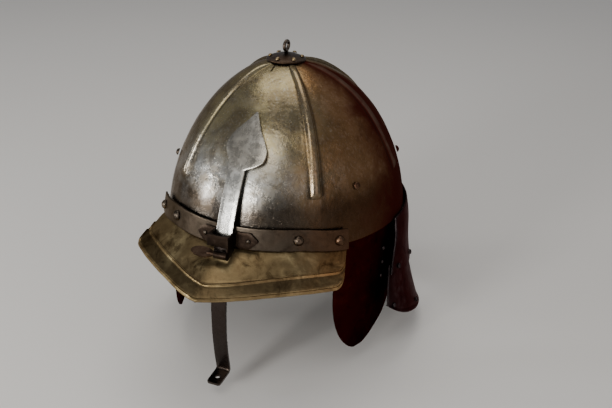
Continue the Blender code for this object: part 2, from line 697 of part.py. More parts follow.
def staple(finish):
    """A strap bent round the bar, riveted to the band by pointed flanges, with the screw's lug."""
    strap_low = STAPLE_TOP - STAPLE_STRAP_HEIGHT
    side_low = STAPLE_TOP - STAPLE_SIDE_HEIGHT
    flange_low = FLANGE_MIDDLE - FLANGE_HALF_HEIGHT
    flange_top = FLANGE_MIDDLE + FLANGE_HALF_HEIGHT
    half = STAPLE_HALF_WIDTH
    seat = BAND_OUT + GAP

    def flange(x, low, top):
        """A column lying on the band."""
        heights = (low, mix(low, top, 1 / 3), mix(low, top, 2 / 3), top)
        return ([Vector((x, skin_y(x, z, seat + STAPLE_WALL), z)) for z in heights],
                [Vector((x, skin_y(x, z, seat), z)) for z in heights])

    def side(sign, low, top, forward):
        """A column of the staple's side wall, forward of the band or at its front face."""
        heights = (low, mix(low, top, 1 / 3), mix(low, top, 2 / 3), top)
        inner_x = sign * (half - STAPLE_WALL)
        if forward is None:
            return ([Vector((sign * half, STAPLE_FRONT_Y, z)) for z in heights],
                    [Vector((inner_x, STAPLE_FRONT_Y + STAPLE_WALL, z)) for z in heights])
        return ([Vector((sign * half, skin_y(half, z, seat + STAPLE_WALL) - forward, z)) for z in heights],
                [Vector((inner_x, skin_y(half, z, seat) - forward, z)) for z in heights])

    tip = FLANGE_REACH
    shoulder = FLANGE_REACH - FLANGE_POINT
    columns = [
        flange(-tip, FLANGE_MIDDLE - FLANGE_TIP_HALF, FLANGE_MIDDLE + FLANGE_TIP_HALF),
        flange(-shoulder, flange_low, flange_top),
        flange(-(shoulder + half) / 2, flange_low, flange_top),
        side(-1, flange_low, flange_top, 0.0),
        side(-1, strap_low, STAPLE_TOP, STAPLE_STEP),
        side(-1, strap_low, STAPLE_TOP, None),
        side(1, strap_low, STAPLE_TOP, None),
        side(1, strap_low, STAPLE_TOP, STAPLE_STEP),
        side(1, flange_low, flange_top, 0.0),
        flange((shoulder + half) / 2, flange_low, flange_top),
        flange(shoulder, flange_low, flange_top),
        flange(tip, FLANGE_MIDDLE - FLANGE_TIP_HALF, FLANGE_MIDDLE + FLANGE_TIP_HALF),
    ]
    made = make_object("nasal_staple", *sheet([outer for outer, inner in columns],
                                              [inner for outer, inner in columns]), finish)
    back_y = skin_y(half, side_low, BAND_OUT) - GAP - STAPLE_WALL
    low_back = peak_top_z(back_y) + GAP * 3
    low_front = peak_top_z(STAPLE_FRONT_Y) + GAP * 6
    cheek = [Vector((x, y, z)) for x in (half - STAPLE_WALL, half) for y, z in (
        (STAPLE_FRONT_Y, low_front), (back_y - STAPLE_STEP, low_back), (back_y - STAPLE_STEP, strap_low + 0.002),
        (STAPLE_FRONT_Y, strap_low + 0.002))]
    side_wall = make_object("side_tool", cheek, [(0, 1, 2, 3), (7, 6, 5, 4), (0, 4, 5, 1), (1, 5, 6, 2),
                                                 (2, 6, 7, 3), (3, 7, 4, 0)], finish)
    lug = make_object("lug_tool", *turned([(0.0, LUG_LEFT), (LUG_RADIUS, LUG_LEFT), (LUG_RADIUS, half - 0.0001),
                                           (0.0, half - 0.0001)], 14), finish)
    axis = turn_to((0.0, LUG_Y, LUG_ABOVE_RIM), (1.0, 0.0, 0.0))
    lug.data.transform(axis)
    join(made, [side_wall, lug])
    depth = LUG_LEFT + SCREW_DEPTH + GAP * 2
    bore = make_object("bore_tool", *turned([(0.0, LUG_LEFT - 0.002), (SCREW_RADIUS + GAP, LUG_LEFT - 0.002),
                                             (SCREW_RADIUS + GAP, depth), (0.0, depth)], 12), finish)
    bore.data.transform(axis)
    join(made, [bore], "DIFFERENCE")
    return made


def peak_top_z(y):
    """Height of the peak's upper face on its middle line."""
    bend_z = BAND_LOW - PEAK_BEND_BELOW
    bend_y = skin_y(0.0, bend_z, FLANGE_OUT - PEAK_WALL / 2)
    rim_y = rim_point(0.0).y
    return mix(bend_z, -PEAK_DROP, (bend_y - y) / (bend_y - rim_y)) + PEAK_WALL / 2 + 0.0007


def thumb_screw(finish, parent):
    """A lateral screw in the lug with an oval leaf to turn it by."""
    sides = 20
    leaf_right = LUG_LEFT - LEAF_GAP
    middle = leaf_right - THUMB_LENGTH / 2
    half = THUMB_THICKNESS / 2
    rim = []
    for side in range(sides):
        turn = math.tau * side / sides
        rim.append((middle + THUMB_LENGTH / 2 * math.cos(turn), THUMB_HALF_DEPTH * math.sin(turn)))
    top = [Vector((x, y, half)) for x, y in rim]
    low = [Vector((x, y, -half)) for x, y in rim]
    faces = [tuple(range(sides)), tuple(reversed(range(sides, 2 * sides)))]
    for side in range(sides):
        following = (side + 1) % sides
        faces.append((side, following, sides + following, sides + side))
    made = make_object("thumb_screw", top + low, faces, finish)
    shank = make_object("shank_tool", *turned([(0.0, leaf_right - THUMB_LENGTH * 0.3),
                                               (SCREW_RADIUS, leaf_right - THUMB_LENGTH * 0.3),
                                               (SCREW_RADIUS, LUG_LEFT + SCREW_DEPTH),
                                               (0.0, LUG_LEFT + SCREW_DEPTH)], 12), finish)
    shank.data.transform(turn_to((0.0, 0.0, 0.0), (1.0, 0.0, 0.0)))
    join(made, [shank])
    made.parent = parent
    made.rotation_euler = (math.radians(THUMB_TILT), 0.0, 0.0)
    return made


# Outline of a cheek piece: share of its length below the rim, front and rear edge in degrees
CHEEK_ROWS = (
    # down, front edge, rear edge, drawn in
    (-CHEEK_TOP / CHEEK_LENGTH, 50.0, 112.0, 0.00),
    (0.150, 49.6, 111.0, 0.02),
    (0.330, 49.4, 108.5, 0.08),
    (0.470, 49.4, 104.0, 0.17),
    (0.600, 50.1, 97.2, 0.30),
    (0.710, 51.6, 92.3, 0.43),
    (0.800, 53.7, 89.4, 0.55),
    (0.870, 56.0, 83.3, 0.68),
    (0.930, 58.9, 77.8, 0.82),
    (0.975, 62.0, 74.0, 0.94),
    (1.000, 65.2, 70.8, 1.00),
)


def cheek_face(angle, down, drawn, inset):
    """Point on a cheek piece's face."""
    z = -CHEEK_LENGTH * down
    return skin(angle, z, -inset - CHEEK_TAPER * drawn)


def cheek_piece(name, sign, finish):
    columns = 8
    outer = []
    inner = []
    for down, front, rear, drawn in CHEEK_ROWS:
        angles = [sign * mix(front, rear, column / columns) for column in range(columns + 1)]
        outer.append([cheek_face(angle, down, drawn, CHEEK_INSET) for angle in angles])
        inner.append([cheek_face(angle, down, drawn, CHEEK_INSET + CHEEK_WALL) for angle in angles])
    return make_object(name, *sheet(outer, inner), finish)


def cheek_drawn(down):
    """How far in the cheek piece is drawn at a share of its length."""
    for low, high in zip(CHEEK_ROWS, CHEEK_ROWS[1:]):
        if down <= high[0]:
            return mix(low[3], high[3], (down - low[0]) / (high[0] - low[0]))
    return CHEEK_ROWS[-1][3]


def cheek_out(angle, z):
    """Standing of a cheek piece's outer face at a height."""
    return -CHEEK_INSET - CHEEK_TAPER * cheek_drawn(-z / CHEEK_LENGTH)


def guard_share(angle):
    """0 at the guard's front edges, 1 at the middle of the back."""
    return ease((180.0 - abs(180.0 - angle) - GUARD_LOW_ANGLE) / (180.0 - GUARD_LOW_ANGLE)) ** GUARD_FLARE_POWER


def lame_low(lame, angle):
    """Height of a lame's lower edge."""
    front, back = ((UPPER_FRONT_LOW, UPPER_BACK_LOW), (LOWER_FRONT_LOW, LOWER_BACK_LOW))[lame]
    around = (180.0 - abs(180.0 - angle) - GUARD_LOW_ANGLE) / (180.0 - GUARD_LOW_ANGLE)
    return mix(front, back, math.sin(math.pi / 2 * bound(around, 0.0, 1.0)) ** GUARD_LOW_POWER)


def guard_out(angle, z, lame):
    """How far the outer face of a lame stands outside the skull's line."""
    top = ease((GUARD_BEND - z) / 0.008) * GUARD_STANDOFF + GUARD_LAP
    flare = mix(GUARD_FLARE_FRONT, GUARD_FLARE_BACK, guard_share(angle))
    down = bound((z - UPPER_FRONT_LOW * 0.6) / (lame_low(1, angle) - UPPER_FRONT_LOW * 0.6), 0.0, 1.0)
    return top + flare * down ** 1.6 - lame * (LAME_WALL + GAP)


# Rows of a lame: share of its height, and of the bead on the lower one
LAME_ROWS = (
    # down, bead
    (0.00, 0.0),
    (0.14, 0.0),
    (0.32, 0.0),
    (0.54, 0.0),
    (0.77, 0.0),
    (0.95, 0.0),
    (0.98, 1.0),
    (1.00, 0.4),
)


def lame(number, finish):
    """One lame of the neck guard; the lower one is tucked under the upper and has a beaded edge."""
    outer = []
    inner = []
    for share, bead_share in LAME_ROWS:
        outer_row = []
        inner_row = []
        for column in range(GUARD_COLUMNS + 1):
            across = column / GUARD_COLUMNS
            top_edge = GUARD_TOP_ANGLE if number == 0 else mix(GUARD_TOP_ANGLE, GUARD_LOW_ANGLE, 0.6)
            low_edge = mix(GUARD_TOP_ANGLE, GUARD_LOW_ANGLE, 0.6) if number == 0 else GUARD_LOW_ANGLE
            edge = mix(top_edge, low_edge, share)
            angle = mix(edge, 360.0 - edge, across)
            top = GUARD_TOP if number == 0 else lame_low(0, angle) + LAME_OVERLAP
            z = mix(top, lame_low(number, angle), share)
            out = guard_out(angle, z, number)
            bead = GUARD_BEAD * bead_share if number == 1 else 0.0
            outer_row.append(skin(angle, z, out + bead))
            inner_row.append(skin(angle, z, out - LAME_WALL - bead))
        outer.append(outer_row)
        inner.append(inner_row)
    return make_object(("upper_lame", "lower_lame")[number], *sheet(outer, inner), finish)


def strip(name, angle, levels, face, finish):
    """A leather lying behind a wall: face gives its outer standing at an angle and a height."""
    outer = []
    inner = []
    for z in levels:
        radius = (SKULL_HALF_WIDTH + SKULL_HALF_LENGTH) / 2
        half = math.degrees(LEATHER_HALF_WIDTH / radius)
        angles = [angle + part * half for part in (-1.0, -0.33, 0.33, 1.0)]
        outer.append([skin(turn, z, face(turn, z)) for turn in angles])
        inner.append([skin(turn, z, face(turn, z) - LEATHER) for turn in angles])
    return make_object(name, *sheet(outer, inner), finish)


def leathers(finish):
    """Cheek leathers and guard leathers, each from inside the skull down behind what it carries."""
    inside = SKULL_WALL + GAP
    for name, sign in (("cheek_leather_left", 1.0), ("cheek_leather_right", -1.0)):
        def cheek_back(angle, z):
            drawn = cheek_drawn(-z / CHEEK_LENGTH) if z < CHEEK_TOP else 0.0
            return -(CHEEK_INSET + CHEEK_WALL + LEATHER_GAP + CHEEK_TAPER * drawn)

        levels = [mix(LEATHER_TOP, CHEEK_LEATHER_LOW, step / 5) for step in range(6)]
        strip(name, sign * CHEEK_LEATHER_ANGLE, levels, cheek_back, finish)
    for number, angle in enumerate(GUARD_LEATHER_ANGLES):
        low = lame_low(1, angle) + LEATHER_END_ABOVE

        def guard_back(turn, z):
            hang = guard_out(turn, min(z, GUARD_BEND), 1) - LAME_WALL - LEATHER_GAP
            return mix(-inside - LEATHER_GAP, hang, ease((GUARD_BEND - z) / 0.008))

        levels = [LEATHER_TOP, LEATHER_TOP / 2, 0.0] + [mix(GUARD_BEND, low, step / 11) for step in range(12)]
        strip("guard_leather_%d" % (number + 1), angle, levels, guard_back, finish)


def surface_rivet(name, angle, z, face, size, finish):
    """A rivet on a wall whose outer standing is given by face at an angle and a height."""
    around = skin(angle + 0.5, z, face(angle + 0.5, z)) - skin(angle - 0.5, z, face(angle - 0.5, z))
    along = skin(angle, z + 0.0005, face(angle, z + 0.0005)) - skin(angle, z - 0.0005, face(angle, z - 0.0005))
    normal = around.cross(along).normalized()
    return rivet(name, skin(angle, z, face(angle, z)), normal, size, finish)


def rivets(finish, brass):
    for number, angle in enumerate(BAND_RIVET_ANGLES):
        z = band_low(angle) + BAND_HEIGHT / 2
        surface_rivet("band_rivet_%d" % (number + 1), angle, z, lambda turn, up: BAND_OUT, BAND_RIVET, finish)
    for number, angle in enumerate(SKULL_RIVET_ANGLES):
        surface_rivet("skull_rivet_%d" % (number + 1), angle, SKULL_RIVET_HEIGHT, lambda turn, up: 0.0,
                      SKULL_RIVET, finish)
    for number in range(DISC_RIVETS):
        turn = math.tau * (number + DISC_RIVET_START) / DISC_RIVETS
        x = DISC_RIVET_RING * math.sin(turn)
        y = -DISC_RIVET_RING * math.cos(turn)
        slope = 2.0 * DISC_RISE * DISC_RIVET_RING / DISC_RADIUS ** 2
        normal = Vector((math.sin(turn) * slope, -math.cos(turn) * slope, 1.0)).normalized()
        rivet("disc_rivet_%d" % (number + 1), (x + CROWN_SHIFT, y, disc_top(DISC_RIVET_RING)), normal,
              SMALL_RIVET, brass)
    for number, x in enumerate((-FLANGE_RIVET_X, FLANGE_RIVET_X)):
        out = BAND_OUT + GAP + STAPLE_WALL
        angle = skin_angle(x, FLANGE_MIDDLE, out)
        surface_rivet("staple_rivet_%d" % (number + 1), angle, FLANGE_MIDDLE, lambda turn, up: out,
                      SMALL_RIVET, finish)
    for side, sign in (("left", 1.0), ("right", -1.0)):
        for number in range(CHEEK_RIVETS):
            down = (CHEEK_RIVET_FIRST + CHEEK_RIVET_PITCH * number) / CHEEK_LENGTH
            surface_rivet("cheek_rivet_%s_%d" % (side, number + 1), sign * CHEEK_RIVET_ANGLE,
                          -CHEEK_LENGTH * down, cheek_out, SMALL_RIVET, finish)
    for number, name in ((0, "upper"), (1, "lower")):
        for place_number, angle in enumerate(GUARD_RIVET_ANGLES):
            turn = angle % 360.0
            if number == 0 and abs(angle) < 90.0:
                turn = 180.0 + math.copysign(180.0 - GUARD_TOP_ANGLE - 1.5, turn - 180.0)
            z = lame_low(number, turn) + GUARD_RIVET_UP
            surface_rivet("%s_lame_rivet_%d" % (name, place_number + 1), turn, z,
                          lambda angle, up: guard_out(angle, up, number), GUARD_RIVET, finish)


def pivot(name, location):
    """An empty on a joint's axis."""
    made = bpy.data.objects.new(name, None)
    made.location = location
    bpy.context.scene.collection.objects.link(made)
    bpy.context.view_layer.update()
    return made


def main():
    clear_scene()
    steel = material("skull_steel", (0.30, 0.26, 0.21), 0.42, 1.0)
    dark_steel = material("dark_steel", (0.13, 0.11, 0.10), 0.45, 1.0)
    bright_steel = material("bright_steel", (0.48, 0.47, 0.43), 0.35, 1.0)
    yellow_steel = material("yellowed_steel", (0.38, 0.30, 0.15), 0.42, 1.0)
    rusty = material("rusty_steel", (0.16, 0.09, 0.06), 0.6, 0.7)
    russet = material("russet_steel", (0.12, 0.02, 0.02), 0.5, 0.8)
    grey_pink = material("guard_steel", (0.20, 0.15, 0.15), 0.5, 1.0)
    brass = material("brass", (0.55, 0.42, 0.20), 0.35, 1.0)
    leather = material("leather", (0.10, 0.05, 0.03), 0.8, 0.0)
    skull(steel)
    crown_disc(yellow_steel)
    crown_eye(bright_steel)
    brow_band(dark_steel)
    peak(yellow_steel)
    staple(dark_steel)
    nasal_axis = pivot("nasal_axis", (0.0, ARC_CENTRE_Y, ARC_CENTRE_Z))
    nasal(bright_steel, nasal_axis)
    screw_axis = pivot("screw_axis", (0.0, LUG_Y, LUG_ABOVE_RIM))
    thumb_screw(rusty, screw_axis)
    cheek_piece("cheek_piece_left", 1.0, russet)
    cheek_piece("cheek_piece_right", -1.0, russet)
    lame(0, grey_pink)
    lame(1, grey_pink)
    leathers(leather)
    rivets(bright_steel, brass)


main()
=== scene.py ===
"""Dresses a horseman's steel helmet: smooth hammered plates, rivets, patinas, light and camera.

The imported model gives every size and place. Metres, +Z up, the wearer faces -Y.
"""
import math
from collections import namedtuple

import bmesh
import bpy
from mathutils import Matrix, Vector


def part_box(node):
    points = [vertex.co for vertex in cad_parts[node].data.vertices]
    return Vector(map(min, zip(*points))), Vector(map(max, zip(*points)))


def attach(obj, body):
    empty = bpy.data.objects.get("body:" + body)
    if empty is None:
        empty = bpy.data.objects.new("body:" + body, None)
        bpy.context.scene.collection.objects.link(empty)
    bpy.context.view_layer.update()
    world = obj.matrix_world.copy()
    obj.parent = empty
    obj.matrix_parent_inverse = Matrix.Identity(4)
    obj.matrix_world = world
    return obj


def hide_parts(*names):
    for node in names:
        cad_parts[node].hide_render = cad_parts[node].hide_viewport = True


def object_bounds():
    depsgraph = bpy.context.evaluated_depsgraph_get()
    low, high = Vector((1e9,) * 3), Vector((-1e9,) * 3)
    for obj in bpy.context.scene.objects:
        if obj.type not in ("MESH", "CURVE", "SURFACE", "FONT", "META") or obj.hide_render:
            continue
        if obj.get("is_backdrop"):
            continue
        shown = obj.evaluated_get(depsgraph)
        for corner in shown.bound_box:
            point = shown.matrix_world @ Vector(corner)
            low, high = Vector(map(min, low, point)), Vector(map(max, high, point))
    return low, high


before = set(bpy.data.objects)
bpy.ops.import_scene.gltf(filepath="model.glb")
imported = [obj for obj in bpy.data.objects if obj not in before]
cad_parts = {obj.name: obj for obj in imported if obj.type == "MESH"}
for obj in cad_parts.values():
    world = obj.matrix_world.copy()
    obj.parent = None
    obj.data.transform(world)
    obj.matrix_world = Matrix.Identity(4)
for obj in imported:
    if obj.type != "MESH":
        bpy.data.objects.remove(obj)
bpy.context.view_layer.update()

bl_info = {
    "name": "Horseman's helmet",
    "version": (1, 0, 0),
    "blender": (4, 5, 0),
    "location": "3D View > Sidebar > Helmet",
    "description": "Builds the visible helmet around its packed solids",
    "category": "Object",
}

HELMET = "helmet"       # the frame's bodies
NASAL = "nasal"
SCREW = "screw"
EDGE_GAP = "edge_gap"       # point attribute: metres to the nearest sharp edge
RAISED = "raised"           # point attribute: 1 on ribs and turned rims
HOLLOW = "hollow"           # point attribute: 1 in the corner at the foot of a rib
HEAD_CENTRE = Vector((0.0, 0.0, 0.03))      # dents and rivets point away from it

# Angles are in degrees
RIDGE_BEND = 24.0           # an outward bend over this is a rib's, an inward one its foot's
SQUARE_BEND = 75.0          # an outward bend over this is a plate's own edge
CORNER_TURN = 28.0          # an outline that turns by more keeps its corner
PAIRED_BEND = 28.0          # two triangles that bend by less are paired,
PAIRED_SHAPE = 75.0         # where the pair's corners are this near to square
ROUNDED_ANGLE = 50.0        # edges over this are rounded
SHARP_ANGLE = 45.0          # shading breaks at edges over this
SAME_POINT = 0.000002       # metres: points nearer than this are one
ROUNDED_BY = 0.00025        # metres, for most edges

# A rivet's head
RIVET_RINGS = 14
RIVET_SUNK = 0.12           # how far its dome goes on below its base, as a share of its height
LEAST_SPREAD = 0.0001       # keeps the spread of its points from being quite flat
SPREAD_STEPS = 24

# Camera: found from the photograph's outline
CAMERA_PLACE = Vector((0.3300, -0.7538, 0.3460))
CAMERA_AZIMUTH = 22.5       # degrees from the front, towards the wearer's left
CAMERA_ELEVATION = 23.22
CAMERA_ROLL = 1.926
CAMERA_LENS = 58.76         # mm on a 36 mm sensor


# Node trees

def between(low, high, shares):
    """The values that lie at some shares of the way between two."""
    return [low + (high - low) * share for share in shares]


def feed(tree, place, value):
    """Links an input to another node's output, or sets it."""
    if isinstance(value, bpy.types.NodeSocket):
        tree.links.new(value, place)
    else:
        place.default_value = value


def add(tree, kind, inputs=None, **settings):
    """A node with its settings and its inputs' values or links."""
    node = tree.nodes.new(kind)
    for name, value in settings.items():
        setattr(node, name, value)
    for key, value in (inputs or {}).items():
        feed(tree, node.inputs[key], value)
    return node


def new_group(name, kind, inputs, outputs):
    """An empty node group with its sockets, and its input and output nodes."""
    tree = bpy.data.node_groups.new(name, kind)
    for label, socket_kind, default in inputs:
        made = tree.interface.new_socket(name=label, in_out="INPUT", socket_type="NodeSocket" + socket_kind)
        if default is not None:
            made.default_value = default
    for label, socket_kind in outputs:
        tree.interface.new_socket(name=label, in_out="OUTPUT", socket_type="NodeSocket" + socket_kind)
    entry = tree.nodes.new("NodeGroupInput")
    leave = tree.nodes.new("NodeGroupOutput")
    return tree, entry.outputs, leave.inputs


def blend_colour(tree, share, first, second, mode="MIX"):
    """Colour between two, by a share."""
    node = add(tree, "ShaderNodeMix", data_type="RGBA", blend_type=mode)
    for key, value in (("Factor_Float", share), ("A_Color", first), ("B_Color", second)):
        feed(tree, next(one for one in node.inputs if one.identifier == key), value)
    return next(one for one in node.outputs if one.identifier == "Result_Color")


def math_node(tree, operation, first, second=0.0, third=0.0):
    node = add(tree, "ShaderNodeMath", operation=operation)
    for place, value in zip(node.inputs, (first, second, third)):
        feed(tree, place, value)
    return node.outputs[0]


def times(tree, first, second):
    return math_node(tree, "MULTIPLY", first, second)


def plus(tree, first, second):
    return math_node(tree, "ADD", first, second)


def vector_math(tree, operation, first, second):
    return add(tree, "ShaderNodeVectorMath", {0: first, 1: second}, operation=operation)


def scaled_vector(tree, vector, scale):
    return add(tree, "ShaderNodeVectorMath", {0: vector, "Scale": scale}, operation="SCALE").outputs[0]


def stretch(tree, value, low, high, to_low=0.0, to_high=1.0):
    """Smoothly carries a range of values to another."""
    node = add(tree, "ShaderNodeMapRange", {"Value": value, "From Min": low, "From Max": high,
                                           "To Min": to_low, "To Max": to_high},
               interpolation_type="SMOOTHSTEP")
    return node.outputs["Result"]


def noise(tree, vector, scale, detail=3.0, roughness=0.55, distortion=0.0):
    made = add(tree, "ShaderNodeTexNoise", {"Vector": vector, "Scale": scale, "Detail": detail,
                                            "Roughness": roughness, "Distortion": distortion})
    return made.outputs["Fac"]


def grouped(tree, group, inputs):
    """A node group placed in a tree."""
    return add(tree, "ShaderNodeGroup", inputs, node_tree=group).outputs


def split(tree, vector):
    return add(tree, "ShaderNodeSeparateXYZ", {"Vector": vector}).outputs


def turn_round(tree, parts):
    """How far a place lies round from the front, in radians, towards the wearer's left."""
    return math_node(tree, "ARCTAN2", parts["X"], times(tree, parts["Y"], -1.0))


def rgba(colour):
    return (colour[0], colour[1], colour[2], 1.0)


# Shader groups

def patina_group():
    """Mottled steel: three tones, stains, and the roughness and relief that go with them."""
    tree, given, result = new_group(
        "Steel patina", "ShaderNodeTree",
        (("Vector", "Vector", None),
         ("Dark", "Color", (0.05, 0.04, 0.03, 1.0)),
         ("Middle", "Color", (0.2, 0.16, 0.1, 1.0)),
         ("Bright", "Color", (0.4, 0.35, 0.28, 1.0)),
         ("Stain", "Color", (0.03, 0.015, 0.01, 1.0)),
         ("Patch size", "Float", 0.03),
         ("Brightness", "Float", 0.5),
         ("Stain amount", "Float", 0.4),
         ("Smoothest", "Float", 0.28),
         ("Roughest", "Float", 0.55)),
        (("Color", "Color"), ("Roughness", "Float"), ("Height", "Float")))
    wide = math_node(tree, "DIVIDE", 1.0, given["Patch size"])
    patches = noise(tree, given["Vector"], wide, 5.0, 0.62, 0.6)
    mottle = noise(tree, given["Vector"], times(tree, wide, 4.3), 6.0, 0.68, 0.3)
    grain = noise(tree, given["Vector"], times(tree, wide, 30.0), 3.0, 0.7)
    tone = plus(tree, times(tree, patches, 0.62), times(tree, mottle, 0.38))
    tone = plus(tree, tone, math_node(tree, "MULTIPLY_ADD", given["Brightness"], 0.34, -0.17))
    colour = blend_colour(tree, stretch(tree, tone, 0.30, 0.52), given["Dark"], given["Middle"])
    colour = blend_colour(tree, stretch(tree, tone, 0.50, 0.72), colour, given["Bright"])
    spots = noise(tree, given["Vector"], times(tree, wide, 1.9), 6.0, 0.72, 1.1)
    edge = math_node(tree, "MULTIPLY_ADD", given["Stain amount"], -0.34, 0.74)
    stained = stretch(tree, math_node(tree, "SUBTRACT", spots, edge), -0.09, 0.13)
    pits = stretch(tree, grain, 0.60, 0.78)
    stained = plus(tree, times(tree, stained, 0.82), times(tree, pits, 0.28))
    stained = math_node(tree, "MINIMUM", stained, 1.0)
    colour = blend_colour(tree, stained, colour, given["Stain"])
    rough = plus(tree, times(tree, stained, 0.6), stretch(tree, mottle, 0.35, 0.7, 0.0, 0.5))
    span = math_node(tree, "SUBTRACT", given["Roughest"], given["Smoothest"])
    height = plus(tree, times(tree, mottle, 0.7), times(tree, grain, 0.16))
    tree.links.new(colour, result["Color"])
    tree.links.new(math_node(tree, "MULTIPLY_ADD", rough, span, given["Smoothest"]), result["Roughness"])
    tree.links.new(math_node(tree, "SUBTRACT", height, times(tree, pits, 0.25)), result["Height"])
    return tree


def marked_by(tree, name):
    """A point attribute of the plates, read in a material."""
    return add(tree, "ShaderNodeAttribute", attribute_name=name, attribute_type="GEOMETRY").outputs["Fac"]


def wear_group():
    """Edges rubbed bright, broken up by noise; it reads the plates' distance to a sharp edge."""
    tree, given, result = new_group(
        "Worn edges", "ShaderNodeTree",
        (("Color", "Color", (0.2, 0.2, 0.2, 1.0)),
         ("Roughness", "Float", 0.4),
         ("Vector", "Vector", None),
         ("Rubbed", "Color", (0.6, 0.55, 0.48, 1.0)),
         ("Amount", "Float", 0.7),
         ("Reach", "Float", 0.001)),
        (("Color", "Color"), ("Roughness", "Float")))
    near = stretch(tree, marked_by(tree, EDGE_GAP), given["Reach"], 0.0)
    broken = stretch(tree, noise(tree, given["Vector"], 160.0, 5.0, 0.7), 0.34, 0.62)
    mask = times(tree, times(tree, near, broken), given["Amount"])
    tree.links.new(blend_colour(tree, mask, given["Color"], given["Rubbed"]), result["Color"])
    tree.links.new(math_node(tree, "MULTIPLY_ADD", mask, -0.12, given["Roughness"]), result["Roughness"])
    return tree


def ridge_group():
    """Ribs lightened along their whole width, partly rubbed wear and partly painted highlight, with a
    painted shade line in the corner at their foot.
    """
    tree, given, result = new_group(
        "Polished ribs", "ShaderNodeTree",
        (("Color", "Color", (0.2, 0.2, 0.2, 1.0)),
         ("Vector", "Vector", None),
         ("Polished", "Color", (0.4, 0.35, 0.28, 1.0)),
         ("Amount", "Float", 0.7)),
        (("Color", "Color"),))
    # Rubbed wear and painted highlight along each rib
    crest = stretch(tree, marked_by(tree, RAISED), 0.30, 0.70)
    broken = stretch(tree, noise(tree, given["Vector"], 85.0, 5.0, 0.7), 0.30, 0.62, 0.45, 1.0)
    crest_wear_and_sheen = times(tree, times(tree, crest, broken), given["Amount"])
    colour = blend_colour(tree, crest_wear_and_sheen, given["Color"], given["Polished"])
    # Painted shade: a dark line in the corner at each rib's foot
    deep = stretch(tree, marked_by(tree, HOLLOW), 0.84, 0.98, 0.0, 0.55)
    tree.links.new(blend_colour(tree, deep, colour, (0.012, 0.008, 0.006, 1.0)), result["Color"])
    return tree


def side_shade_group():
    """A painted red shade round the left rear, with a warmer painted tone before it; Share says how deep the
    shade is.
    """
    tree, given, result = new_group(
        "Dark side", "ShaderNodeTree",
        (("Color", "Color", (0.2, 0.2, 0.2, 1.0)),
         ("Vector", "Vector", None),
         ("Dark", "Color", (0.03, 0.008, 0.006, 1.0)),
         ("Start", "Float", 0.85),
         ("End", "Float", 1.65),
         ("Amount", "Float", 0.9)),
        (("Color", "Color"), ("Share", "Float")))
    patches = noise(tree, given["Vector"], 30.0, 4.0, 0.6, 0.8)
    turn = turn_round(tree, split(tree, given["Vector"]))
    turn = plus(tree, turn, math_node(tree, "MULTIPLY_ADD", patches, 0.8, -0.4))
    early = math_node(tree, "SUBTRACT", given["Start"], 0.45)
    warm = stretch(tree, turn, early, plus(tree, early, 0.60), 0.0, 0.85)
    warm = times(tree, warm, stretch(tree, turn, 2.65, 1.9))
    warmed = blend_colour(tree, warm, given["Color"], (1.20, 0.80, 0.58, 1.0), "MULTIPLY")
    rise = stretch(tree, turn, given["Start"], given["End"])
    fall = stretch(tree, turn, 2.6, 2.0)
    share = times(tree, times(tree, rise, fall), given["Amount"])
    tree.links.new(blend_colour(tree, share, warmed, given["Dark"]), result["Color"])
    tree.links.new(share, result["Share"])
    return tree


def scratch_group():
    """Fine scratches in two directions, as a height."""
    tree, given, result = new_group(
        "Fine scratches", "ShaderNodeTree",
        (("Vector", "Vector", None), ("Spacing", "Float", 0.0008)),
        (("Height", "Float"),))
    scale = math_node(tree, "DIVIDE", 1.0, given["Spacing"])
    lines = []
    for turn, squeeze in (((0.4, 0.2, 0.7), (1.0, 0.06, 0.06)), ((1.9, 0.8, 2.2), (0.05, 1.0, 0.05))):
        laid = add(tree, "ShaderNodeMapping", {
            "Vector": given["Vector"],
            "Rotation": turn,
            "Scale": squeeze,
        })
        lines.append(noise(tree, laid.outputs["Vector"], scale, 2.0, 0.5))
    tree.links.new(plus(tree, lines[0], lines[1]), result["Height"])
    return tree


# Materials

Steel = namedtuple("Steel", ("family", "patch", "brightness", "stains", "smooth", "rough", "worn", "reach",
                             "relief", "hammer", "ridge", "side"))
